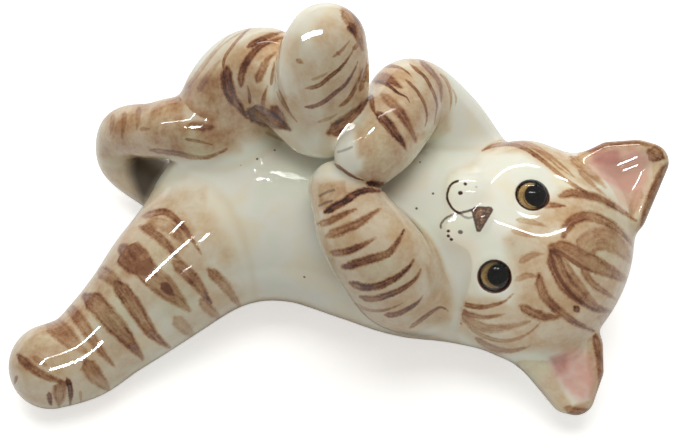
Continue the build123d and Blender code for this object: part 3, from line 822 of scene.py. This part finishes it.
def paint(strokes, layer, ink=False):
    """adds strokes to a layer; ink lines are even in width and only on the near side"""
    for row, (part, tone, width, knots) in enumerate(strokes):
        path = smooth_path(knots)
        half = width / 2
        index = region(part, path, half + 1.6, front=ink)
        x, y = plan_x[index], plan_y[index]
        lengths = np.linalg.norm(np.diff(path, axis=0), axis=1)
        station = np.r_[0, np.cumsum(lengths)]
        gap = np.full(len(index), 99.0)
        across = np.zeros(len(index))
        along = np.zeros(len(index))
        for i in range(len(path) - 1):
            start, step = path[i], path[i + 1] - path[i]
            right, up = x - start[0], y - start[1]
            t = np.clip((right * step[0] + up * step[1]) / (step @ step), 0, 1)
            right, up = right - t * step[0], up - t * step[1]
            here = np.hypot(right, up)
            closer = here < gap
            gap[closer] = here[closer]
            across[closer] = (np.sign(step[0] * up - step[1] * right) * here)[closer]
            along[closer] = (station[i] + t * lengths[i])[closer]
        if ink:
            edge = np.maximum(gap - half, past[part][index])
        else:       # swells quickly at the start and tapers to the end
            share = along / station[-1]
            swell = np.clip(0.45 + share / 0.16, 0, 1)
            taper = 1 - 0.8 * np.clip((share - 0.38) / 0.62, 0, 1)**1.7
            edge = np.maximum(gap - half * swell * taper, past[part][index])
            edge = edge / np.clip(half * 0.5, 0.17, 0.55)
        # the shift along gives each stroke its own bristle marks
        add_stroke(layer, index, edge, tone, across / max(half, 0.2), along + 13.7 * row)


def paint_eye_rim(layer, side):
    centre, x, y, z = eye_frame(side)
    offset = verts - centre
    index = np.nonzero((np.abs(offset @ z) < 3.5) & ((offset * offset).sum(1) < 64))[0]
    local_x, local_y = offset[index] @ x, offset[index] @ y
    strength, angle = EYES[side]["corner"]
    corner = strength * np.exp(-(np.arctan2(local_y, local_x) / angle)**2)
    ring = np.abs(np.hypot(local_x, local_y) - EYE_RADIUS - 0.05)
    none = np.zeros(len(index))
    add_stroke(layer, index, ring - (0.42 + 0.25 * corner), 1.0, none, none)


def limit_edges(layer, low, high):
    for key in ("edge", "edge2"):
        np.clip(layer[key], low, high, out=layer[key])


def cover(part, soft, outline):
    """the vertices near an outline, and how far each is inside it, 0 to 1"""
    index = region(part, outline, soft)
    distance = outline_distance(plan_x[index], plan_y[index], outline)
    return index, fade(-distance, -soft, soft)


def tint_field(tints):
    field = np.zeros(len(verts))
    for part, strength, soft, outline in tints:
        index, amount = cover(part, soft, outline)
        amount = amount * strength * fade(facing[index], 0.05, 0.3)
        field[index] = np.maximum(field[index], amount)
    return field


def wash_field():
    field = np.zeros(len(verts))
    for part, density, soft, outline in WASHES:
        index, amount = cover(part, soft, outline)
        amount = amount * fade(-past[part][index], -0.7, 0.9)
        if density >= 0:
            field[index] = np.maximum(field[index], amount * density)
        else:
            field[index] *= 1 + amount * density
    # the torso's underside, hidden from the painter, is a soft tan
    under = fade(-normals[:, 2], -0.1, 0.55) * fade(-(verts[:, 2] - 22.0), -10, 14) * on_torso
    return np.maximum(field, 0.34 * under)


def nose_field():
    field = np.full(len(verts), 1.5)
    index = region("head", NOSE_PATCH, 1.75, front=True)
    distance = outline_distance(plan_x[index], plan_y[index], NOSE_PATCH)
    field[index] = np.clip(distance - 0.25, -1.5, 1.5)
    return field


def seam_shade_and_pool_field():
    """the narrow seams where two pieces meet, darkened a little: part painted crease shade, part
    stain pooled in the seam
    """
    closest, second = np.partition(distances, 1, axis=0)[:2]
    return np.exp(-((second - closest) / 0.9)**2) * np.where(closest > 0.12, 1.0, 0.0)


def find_pinholes():
    """each pinhole's place on the surface, and its radius"""
    found = []
    for x, y, radius in PINHOLES:
        index = np.nonzero((facing > 0.2) & (np.abs(plan_x - x) < 1)
                           & (np.abs(plan_y - y) < 1))[0]
        if len(index):
            away = np.hypot(plan_x[index] - x, plan_y[index] - y)
            best = (away - 0.02 * towards_view[index]).argmin()
            found.append((verts[index[best]], radius))
    return found


coat = new_layer(9.0)
paint([(part, tone, width * STROKE_SPREAD, path) for part, tone, width, path in STROKES], coat)
limit_edges(coat, -8.0, 3.0)
ink = new_layer(3.0)
paint(INK_LINES, ink, ink=True)
for side in (1, -1):
    paint_eye_rim(ink, side)
limit_edges(ink, -3.0, 1.5)
# how far each vertex lies from the tail hollow's outline, for the painted shade there
hole = outline_distance(plan_x, plan_y, TAIL_HOLE_SHADE)

FIELDS = {
    "wash": wash_field(),
    # the coat's strokes: edge distance, tone, place across and along, then the second stroke
    "s1": coat["edge"], "t1": coat["tone"], "c1": coat["across"], "a1": coat["along"],
    "s2": coat["edge2"], "t2": coat["tone2"],
    # the ink's edge distance and tone, then the second line's edge
    "s3": ink["edge"], "t3": ink["tone"], "s4": ink["edge2"],
    "pink": tint_field(PINK_TINTS),
    "mauve": tint_field(MAUVE_TINTS),
    "nose": nose_field(),
    "seam_shade_and_pool": seam_shade_and_pool_field(),
    # painted shade in the tail hollow, strongest deep inside it
    "painted_hole_shade": fade(-hole, -1.6, 1.9) * np.where(towards_view < TAIL_HOLE_SHADE_NEAR, 1.0, 0.0) * 0.92,
    "bare": fade(-normals[:, 2], 0.75, 0.93) * (verts[:, 2] < 0.7),
}


# ------------------------------------------------------------------ closed pieces
def rim_loops(faces):
    """the open edges of a patch, as closed loops of vertices"""
    edges = quad_edges(faces)
    base = len(verts) + 1
    forward = edges[:, 0] * base + edges[:, 1]
    reverse = edges[:, 1] * base + edges[:, 0]
    following = {}
    for a, b in edges[~np.isin(forward, reverse)].tolist():
        following.setdefault(a, []).append(b)
    loops = []
    while following:
        here = next(iter(following))
        loop = [here]
        while True:
            after = following[here].pop()
            if not following[here]:
                del following[here]
            here = after
            if here not in following:
                break
            loop.append(here)
        loops.append(loop)
    return loops


def build_piece(key, material):
    """one moulded piece; each open rim is turned inwards and closed by a fan"""
    faces = quads[labels == PIECES.index(key)]
    used = np.unique(faces)
    middle = verts[used].mean(0)
    local = np.full(len(verts), -1)
    local[used] = np.arange(len(used))
    places, sources, total = [verts[used]], [used], len(used)
    all_quads, triangles = [local[faces]], [np.zeros((0, 3), int)]
    for loop in rim_loops(faces):
        rim = np.array(loop)
        inner = verts[rim] - normals[rim] * 0.9
        ring = np.arange(total, total + len(rim))
        hub = total + len(rim)
        places += [inner, (inner.mean(0) * 0.8 + middle * 0.2)[None]]
        sources += [rim, rim[:1]]
        total = hub + 1
        next_ring = np.roll(ring, -1)
        all_quads.append(np.stack([local[np.roll(rim, -1)], local[rim], ring, next_ring], 1))
        triangles.append(np.stack([next_ring, ring, np.full(len(rim), hub)], 1))
    places, sources = np.concatenate(places), np.concatenate(sources)
    all_quads, triangles = np.concatenate(all_quads), np.concatenate(triangles)

    name = "glazed_" + key
    mesh = bpy.data.meshes.new(name)
    mesh.vertices.add(len(places))
    mesh.vertices.foreach_set("co", (places * MM).astype(np.float32).ravel())
    corners = np.concatenate([all_quads.ravel(), triangles.ravel()]).astype(np.int32)
    mesh.loops.add(len(corners))
    mesh.loops.foreach_set("vertex_index", corners)
    counts = np.r_[np.full(len(all_quads), 4), np.full(len(triangles), 3)]
    mesh.polygons.add(len(counts))
    mesh.polygons.foreach_set("loop_start", np.r_[0, np.cumsum(counts)[:-1]].astype(np.int32))
    mesh.update(calc_edges=True)
    mesh.validate()
    for field, values in FIELDS.items():
        attribute = mesh.attributes.new(field, "FLOAT", "POINT")
        attribute.data.foreach_set("value", values[sources].astype(np.float32))
    corner_normals = np.zeros((len(corners), 3), np.float32)
    shown = len(faces) * 4
    corner_normals[:shown] = normals[sources[corners[:shown]]]
    mesh.normals_split_custom_set(corner_normals.tolist())
    mesh.materials.append(material)
    piece = bpy.data.objects.new(name, mesh)
    bpy.context.scene.collection.objects.link(piece)
    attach(piece, "root")
    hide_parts(key)
    return piece


# ------------------------------------------------------------------ shader tools
def rgb(colour):
    """an sRGB colour, 0 to 255, as linear RGBA"""
    linear = []
    for value in colour:
        value /= 255.0
        linear.append(value / 12.92 if value <= 0.04045 else ((value + 0.055) / 1.055)**2.4)
    return (*linear, 1.0)


class Signal:
    """a node's output, on which + - * / make Math nodes"""

    def __init__(self, shader, socket):
        self.shader = shader
        self.socket = socket

    def __add__(self, other):
        return self.shader.math("ADD", self, other)

    def __sub__(self, other):
        return self.shader.math("SUBTRACT", self, other)

    def __rsub__(self, other):
        return self.shader.math("SUBTRACT", other, self)

    def __mul__(self, other):
        return self.shader.math("MULTIPLY", self, other)

    def __truediv__(self, other):
        return self.shader.math("DIVIDE", self, other)


class Shader:
    """a new material and short ways to wire its nodes"""

    def __init__(self, name):
        self.material = bpy.data.materials.new(name)
        self.material.use_nodes = True
        self.tree = self.material.node_tree
        self.principled = self.tree.nodes["Principled BSDF"]
        self.place = self.output(self.new("NewGeometry"), "Position")

    def output(self, node, key=0):
        return Signal(self, node.outputs[key])

    def feed(self, node, inputs):
        for key, value in inputs.items():
            if isinstance(value, Signal):
                self.tree.links.new(value.socket, node.inputs[key])
            elif value is not None:
                node.inputs[key].default_value = value

    def new(self, kind, inputs={}, **properties):
        node = self.tree.nodes.new("ShaderNode" + kind)
        for key, value in properties.items():
            setattr(node, key, value)
        self.feed(node, inputs)
        return node

    def math(self, operation, first, second=None, clamp=False):
        return self.output(self.new("Math", {0: first, 1: second}, operation=operation,
                                    use_clamp=clamp))

    def vector(self, operation, first, second, key="Value"):
        return self.output(self.new("VectorMath", {0: first, 1: second},
                                    operation=operation), key)

    def combine(self, *parts):
        return self.output(self.new("CombineXYZ", dict(enumerate(parts))))

    def attribute(self, name):
        return self.output(self.new("Attribute", attribute_name=name), "Fac")

    def ray(self, kind):
        return self.output(self.new("LightPath"), kind)

    def fade(self, x, start, end, low=0.0, high=1.0):
        """low before start, high after end"""
        inputs = dict(enumerate((x, start, end, low, high)))
        return self.output(self.new("MapRange", inputs, interpolation_type="SMOOTHSTEP"))

    def noise(self, scale, detail=3.0, rough=0.5, at=None):
        inputs = {"Vector": at or self.place, "Scale": scale, "Detail": detail,
                  "Roughness": rough}
        return self.output(self.new("TexNoise", inputs), "Fac")

    def mottle(self, scale, band, levels, detail=4, rough=0.5):
        """noise whose band is spread over two levels"""
        return self.fade(self.noise(scale, detail, rough), *band, *levels)

    def ramp(self, x, stops):
        node = self.new("ValToRGB", {0: x})
        elements = node.color_ramp.elements
        while len(elements) > 1:
            elements.remove(elements[-1])
        elements[0].position, elements[0].color = stops[0][0], rgb(stops[0][1])
        for position, colour in stops[1:]:
            elements.new(position).color = rgb(colour)
        return self.output(node)

    def mix(self, share, base, top, blend="MIX"):
        if not isinstance(top, Signal):
            top = rgb(top)
        node = self.new("Mix", data_type="RGBA", blend_type=blend)
        self.feed(node, {0: share, 6: base, 7: top})
        return self.output(node, 2)

    def bump(self, height, distance):
        node = self.new("Bump", {"Distance": distance, "Height": height})
        self.feed(self.principled, {"Normal": self.output(node)})

    def show(self, shading):
        self.feed(self.tree.nodes["Material Output"], {0: shading})


# ------------------------------------------------------------------ glaze, enamel and glass
# Stain colours over the white body, by density
STAIN = [(0.10, (231, 219, 195)), (0.28, (213, 187, 154)), (0.48, (186, 146, 108)),
         (0.66, (150, 102, 70)), (0.82, (112, 66, 46)), (1.0, (60, 33, 25))]
# Faint warm and cool clouds over everything
CLOUDS = [(0.3, (247, 255, 248)), (0.5, (255, 255, 255)), (0.62, (255, 249, 236)),
          (0.74, (255, 246, 240))]
PINK, MAUVE = (226, 172, 156), (186, 118, 110)
NOSE = [(0.38, (70, 44, 30)), (0.5, (118, 80, 56)), (0.60, (150, 108, 80)),
        (0.68, (196, 160, 130))]
NOSE_RIM = (72, 42, 30)
INK, SECOND_INK, PINHOLE = (72, 38, 26), (70, 44, 34), (60, 46, 38)
BISCUIT = [(0.3, (196, 182, 160)), (0.6, (222, 212, 194)), (0.8, (230, 222, 208))]
# Painted shade colours for the tail hollow
PAINTED_HOLE_SHADE = [(0.3, (52, 42, 30)), (0.7, (74, 62, 46))]
AMBER = [(0.3, (128, 92, 44)), (0.55, (184, 146, 84)), (0.75, (212, 178, 118)),
         (0.9, (190, 152, 96))]
PUPIL_BLACK = (11, 9, 9)


def stain_density(k, ragged, seed):
    """how thick the brown stain lies, 0 to 1, from strokes, washes and creases"""
    wobble = ragged + (k.noise(620, detail=2) - 0.5) * 1.0
    brush = k.combine(k.attribute("c1") * 3.1, k.attribute("a1") * 0.16, seed)
    streak = k.fade(k.noise(1.3, rough=0.65, at=brush), 0.30, 0.70, 0.74, 1.08)
    edge1, edge2 = k.attribute("s1") + wobble, k.attribute("s2") + wobble
    cover1, cover2 = k.fade(edge1, -1.0, 0.75, 1, 0), k.fade(edge2, -1.0, 0.8, 1, 0)
    grain = k.mottle(1500, band=(0.32, 0.68), levels=(0.80, 1.14), rough=0.7)
    patches = k.mottle(230, band=(0.3, 0.7), levels=(0.70, 1.14), detail=3, rough=0.6)
    pool = k.fade(edge1, -2.4, -0.6, 0.84, 1.16) * (grain * patches)
    tone1 = (k.attribute("t1") * cover1) * (streak * pool)
    tone2 = (k.attribute("t2") * cover2) * 0.8
    cloud = k.mottle(150, band=(0.30, 0.70), levels=(0.55, 1.25), detail=5, rough=0.62)
    fleck = k.mottle(900, band=(0.35, 0.7), levels=(0.88, 1.10), rough=0.7)
    wash = k.attribute("wash") * (cloud * fleck)
    strokes = k.math("MAXIMUM", tone1, tone2) + k.math("MINIMUM", tone1, tone2) * 0.25
    density = wash + strokes * (1.0 - wash * 0.55)
    # the seams get a faint darkening, part painted crease shade and part pooled stain
    return k.math("ADD", density, k.attribute("seam_shade_and_pool") * 0.05, clamp=True)


def glaze(name, white, seed, pinholes=()):
    """bone-white body and brushed brown stain under a thick clear glaze"""
    k = Shader(name)
    ragged = (k.noise(1900, detail=4, rough=0.65) - 0.5) * 1.5
    density = stain_density(k, ragged, seed)
    colour = k.ramp(density, [(0.0, white)] + STAIN)
    colour = k.mix(1.0, colour, k.ramp(k.noise(75, detail=4), CLOUDS), "MULTIPLY")
    pink = k.attribute("pink") * k.mottle(420, band=(0.3, 0.7), levels=(0.72, 1.0))
    colour = k.mix(pink, colour, PINK)
    mauve = k.attribute("mauve") * k.mottle(500, band=(0.3, 0.7), levels=(0.6, 1.0))
    colour = k.mix(mauve, colour, MAUVE)

    nose = k.fade(k.attribute("nose") + ragged * 0.25, -0.22, 0.10, 1, 0)
    nose_rim = k.fade(k.attribute("nose"), -0.75, -0.25, 0, 1)
    nose_colour = k.mix(nose_rim, k.ramp(k.noise(1500, detail=4), NOSE), NOSE_RIM)
    colour = k.mix(nose * 0.94, colour, nose_colour)

    line = k.fade(k.attribute("s3") + ragged * 0.14, -0.16, 0.12, 1, 0) * k.attribute("t3")
    colour = k.mix(line, colour, INK)
    colour = k.mix(k.fade(k.attribute("s4"), -0.14, 0.12, 0.8, 0), colour, SECOND_INK)

    pit = 0.0
    for place, radius in pinholes:
        away = k.vector("DISTANCE", k.place, tuple(place * MM))
        dot = k.fade(away, (radius - 0.06) * MM, (radius + 0.1) * MM, 0.85, 0)
        pit = k.math("MAXIMUM", dot, pit)
    colour = k.mix(pit, colour, PINHOLE)
    bare = k.attribute("bare")
    colour = k.mix(bare, colour, k.ramp(k.noise(700, detail=5, rough=0.7), BISCUIT))
    # painted shade in the tail hollow: dark colour, and a rough glaze so it shows no glints
    painted_hole_shade = k.attribute("painted_hole_shade")
    colour = k.mix(painted_hole_shade, colour, k.ramp(k.noise(300), PAINTED_HOLE_SHADE))

    worn = k.mottle(260, band=(0.45, 0.8), levels=(0.0, 0.05), detail=5, rough=0.65)
    roughness = worn + 0.065 + bare * 0.62 + painted_hole_shade * 0.6 + density * 0.03
    k.feed(k.principled, {"Base Color": colour, "Roughness": roughness, "IOR": 1.52,
                          "Coat Weight": 0.6, "Coat Roughness": 0.025})
    # slow waves, ripples, fine grain, then the stain's thickness
    height = (k.noise(60, detail=1) * 0.14 + k.noise(260, detail=1) * 0.02
              + k.noise(1600, detail=1) * 0.0025 + density * 0.008)
    if pinholes:
        height = height - pit * 0.25
    k.bump(height, distance=0.00028)
    return k.material


def eye_paint(name, side, roughness):
    """fired enamel disc: amber with fine spokes, a dark rim and a round pupil off its centre"""
    k = Shader(name)
    centre, x_axis, y_axis, _ = eye_frame(side)
    offset = k.vector("SUBTRACT", k.place, tuple(centre * MM), key=0)
    x, y = (k.vector("DOT_PRODUCT", offset, tuple(axis / MM)) for axis in (x_axis, y_axis))
    radius = k.math("SQRT", x * x + y * y)
    angle = k.math("ARCTAN2", y, x)
    spoke = k.noise(2.4, detail=4, rough=0.7, at=k.combine(angle * 3.2, radius * 0.35))
    # the pupil's own axes, turned about the eye's centre
    turn_cos, turn_sin = 0.906, 0.423
    along = x * turn_cos + y * turn_sin
    across = y * turn_cos - x * turn_sin
    from_pupil = along - 0.95
    away = k.math("SQRT", from_pupil * from_pupil + across * across)
    ragged = (spoke - 0.5) * 0.3
    dark = k.fade(away + ragged, 2.32, 2.56, 1, 0)
    dark = k.math("MAXIMUM", dark, k.fade(radius + ragged, 2.70, 2.90, 0, 1))
    dark = k.math("MAXIMUM", dark, k.fade(along, 0.2, 1.1, 0, 1))
    shade = radius / EYE_RADIUS + (spoke - 0.5) * 0.5
    k.feed(k.principled, {"Base Color": k.mix(dark, k.ramp(shade, AMBER), PUPIL_BLACK),
                          "Roughness": spoke * 0.12 + roughness,
                          "Specular IOR Level": 0.06})
    k.bump(spoke + k.noise(1800) * 0.5, distance=0.00006)
    return k.material


def clear_glass(name):
    """clear glass; lamps reach the enamel behind it"""
    k = Shader(name)
    passes = k.new("MixShader")
    ray = k.new("LightPath")
    unseen = k.math("MAXIMUM", k.output(ray, "Is Shadow Ray"), k.output(ray, "Is Diffuse Ray"))
    k.feed(passes, {0: unseen, 1: k.output(k.principled), 2: k.output(k.new("BsdfTransparent"))})
    k.show(k.output(passes))
    tint = k.ramp(k.noise(400), [(0.3, (250, 250, 246)), (0.7, (255, 255, 255))])
    k.feed(k.principled, {
        "Base Color": tint, "Transmission Weight": 1.0, "IOR": 1.10, "Coat Weight": 1.0,
        "Coat Roughness": 0.02,
        "Roughness": k.mottle(900, band=(0.4, 0.8), levels=(0.01, 0.05))})
    k.bump(k.noise(500, detail=2), distance=0.00003)
    return k.material


def floor_paint():
    """matt pale floor that glows a little to the camera only"""
    k = Shader("pale_floor")
    pale = k.ramp(k.noise(6, detail=4), [(0.3, (243, 243, 242)), (0.7, (248, 248, 247))])
    k.feed(k.principled, {"Base Color": pale, "Roughness": 0.8, "Specular IOR Level": 0.1})
    glow = k.new("Emission", {"Color": (1, 1, 1, 1),
                              "Strength": k.ray("Is Camera Ray") * 0.55})
    both = k.new("AddShader", {0: k.output(k.principled), 1: k.output(glow)})
    k.show(k.output(both))
    return k.material


white_glaze = glaze("white_glaze", (241, 240, 227), 1.0, find_pinholes())
tabby_glaze = glaze("tabby_glaze", (241, 239, 225), 4.0)
made = {key: build_piece(key, white_glaze if key == "torso" else tabby_glaze)
        for key in PIECES}
for side, word in ((1, "right"), (-1, "left")):
    for part, material, slot in (
            ("iris", eye_paint(word + "_amber", side, roughness=0.45), "amber_enamel"),
            ("pupil", eye_paint(word + "_black", side, roughness=0.5), "black_enamel"),
            ("glass", clear_glass(word + "_glass"), "eye_glass")):
        eye_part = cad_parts[f"{word}_eye_{part}"]
        eye_part.data.materials.clear()
        eye_part.data.materials.append(material)

# ------------------------------------------------------------------ floor and world
FLOOR_HALF = 2.6            # metres
FLOOR_DROP = 0.00005        # metres, keeps it just under the base

floor_mesh = bpy.data.meshes.new("floor")
floor_mesh.from_pydata([(x * FLOOR_HALF, y * FLOOR_HALF, 0)
                        for x, y in ((-1, -1), (1, -1), (1, 1), (-1, 1))],
                       [], [(0, 1, 2, 3)])
floor = bpy.data.objects.new("floor", floor_mesh)
bpy.context.scene.collection.objects.link(floor)
floor.location.z = -FLOOR_DROP
floor_mesh.materials.append(floor_paint())


def build_world():
    """a dim world that looks brighter to the camera"""
    dim, extra_to_camera = 0.27, 0.68
    world = bpy.data.worlds.new("studio")
    world.use_nodes = True
    bpy.context.scene.world = world
    tree = world.node_tree
    background = tree.nodes["Background"]
    background.inputs[0].default_value = (1.0, 1.0, 0.97, 1)
    strength = tree.nodes.new("ShaderNodeMath")
    strength.operation = "MULTIPLY_ADD"
    strength.inputs[1].default_value = extra_to_camera
    strength.inputs[2].default_value = dim
    ray = tree.nodes.new("ShaderNodeLightPath")
    tree.links.new(ray.outputs["Is Camera Ray"], strength.inputs[0])
    tree.links.new(strength.outputs[0], background.inputs[1])


build_world()


# ------------------------------------------------------------------ lights
def turn(thing, x, y, z):
    """turns an object so that its own axes lie along x, y and z"""
    thing.rotation_mode = "QUATERNION"
    thing.rotation_quaternion = mathutils.Matrix(np.stack([x, y, z], 1).tolist()).to_quaternion()


def lamp(name, at, target, size, radiance, colour=(1, 1, 1), only=None, mirrored=False):
    """an area lamp given by how bright its face looks, lighting all pieces or `only` some

    A mirrored lamp is seen in the glaze and leaves the shading alone; others do the reverse.
    """
    light = bpy.data.lights.new(name, "AREA")
    light.shape = "RECTANGLE"
    light.size, light.size_y = size[0] * MM, size[1] * MM
    light.energy = radiance * math.pi * size[0] * size[1] * MM * MM
    light.color = colour
    holder = bpy.data.objects.new(name, light)
    bpy.context.scene.collection.objects.link(holder)
    holder.location = np.asarray(at, float) * MM
    z = unit(np.asarray(at, float) - np.asarray(target, float))
    up = np.array([0, 0, 1.0]) if abs(z[2]) < 0.95 else np.array([0, 1.0, 0])
    x = unit(np.cross(up, z))
    turn(holder, x, np.cross(z, x), z)
    holder.visible_camera = False
    holder.visible_transmission = False
    if mirrored:
        holder.visible_diffuse = False
    else:
        holder.visible_glossy = False
    if only:
        receivers = bpy.data.collections.new(name + "_on")
        for piece in only:
            receivers.objects.link(piece)
        holder.light_linking.receiver_collection = receivers
    return holder


GLINT_FAR, GLINT_RADIANCE = 130.0, 70


def glint(key, at, direction, size, reach):
    """a small pane above one place on one piece, its beam too narrow to reach far past it"""
    at, direction = np.asarray(at, float), unit(direction)
    half_angle = math.atan(reach / GLINT_FAR)
    holder = lamp("glint_" + key, at + direction * GLINT_FAR, at, size,
                  radiance=GLINT_RADIANCE * min(half_angle * half_angle, 0.36),
                  only=[made[key]], mirrored=True)
    holder.data.spread = 2 * half_angle


head_parts = [made[key] for key in ("head", "right_ear", "left_ear")]
head_parts += [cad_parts[f"{word}_eye_glass"] for word in ("left", "right")]
far_parts = [made[key] for key in ("left_hind_leg", "right_thigh", "right_foreleg",
                                   "left_foreleg", "tail")]
BODY = (0, 0, 20)
WINDOW = dict(at=(20, 560, 500), target=BODY, size=(560, 34), mirrored=True)

lamp("back_soft", at=(-40, 620, 470), target=BODY, size=(900, 420), radiance=2.6,
     colour=(1.0, 1.0, 0.98))
lamp("top_soft", at=(0, 60, 800), target=BODY, size=(500, 300), radiance=5.0,
     colour=(1.0, 0.99, 0.96))
lamp("face_fill", at=(-20, -110, 310), target=(30, -5, 38), size=(120, 120), radiance=2.6,
     colour=(1.0, 1.0, 0.98), only=head_parts)
lamp("head_tube", at=(95, 25, 620), target=(95, 25, 0), size=(270, 17), radiance=42,
     only=head_parts, mirrored=True)
lamp("back_window", radiance=26, only=head_parts, **WINDOW)
lamp("back_window_far", radiance=6, only=far_parts, **WINDOW)
lamp("left_tube", at=(-560, 60, 330), target=(0, 0, 30), size=(16, 200), radiance=26,
     only=[made["tail"]], mirrored=True)

# piece, place lit, direction to the pane, pane size, reach of the beam about the place
for row in (
        ("torso", (-9.7, 3.2, 35.7), (-0.255, 0.464, 0.849), (12, 16), 3.0),
        ("right_hind_foot", (-5.5, 17.0, 73.3), (-0.63, 0.02, 0.77), (34, 170), 200.0),
        ("tail", (-29.5, 14.4, 42.5), (-0.754, -0.289, 0.591), (8, 14), 5.0),
        ("left_hind_leg", (-57.0, -32.9, 18.3), (0.17, -0.58, 0.79), (70, 11), 12.0),
        ("left_hind_leg", (-38.6, -14.7, 30.2), (-0.33, -0.29, 0.90), (6, 76), 50.0),
        ("left_hind_leg", (-37.3, -8.5, 31.9), (-0.491, 0.311, 0.814), (10, 5), 3.5),
        ("left_hind_leg", (-28.7, -9.2, 32.6), (0.005, -0.292, 0.956), (5, 14), 4.0),
        ("right_foreleg", (5.9, 4.5, 56.4), (-0.365, 0.782, 0.505), (18, 10), 6.5),
        ("right_foreleg", (6.8, 3.2, 56.7), (-0.145, 0.549, 0.823), (18, 10), 6.5),
        ("right_ear", (63.2, 7.3, 35.3), (0.637, -0.685, 0.353), (16, 5), 4.0)):
    glint(*row)

# ------------------------------------------------------------------ camera
lens = bpy.data.cameras.new("camera")
lens.sensor_width = 36.0
lens.lens = lens.sensor_width * VIEW_DISTANCE / VIEW_WIDTH
lens.clip_start, lens.clip_end = 0.01, 20
camera = bpy.data.objects.new("camera", lens)
bpy.context.scene.collection.objects.link(camera)
camera.location = (TARGET + TO_VIEWER * VIEW_DISTANCE) * MM
turn(camera, VIEW_RIGHT, VIEW_UP, TO_VIEWER)
bpy.context.scene.camera = camera
bpy.context.scene.view_settings.view_transform = "Standard"
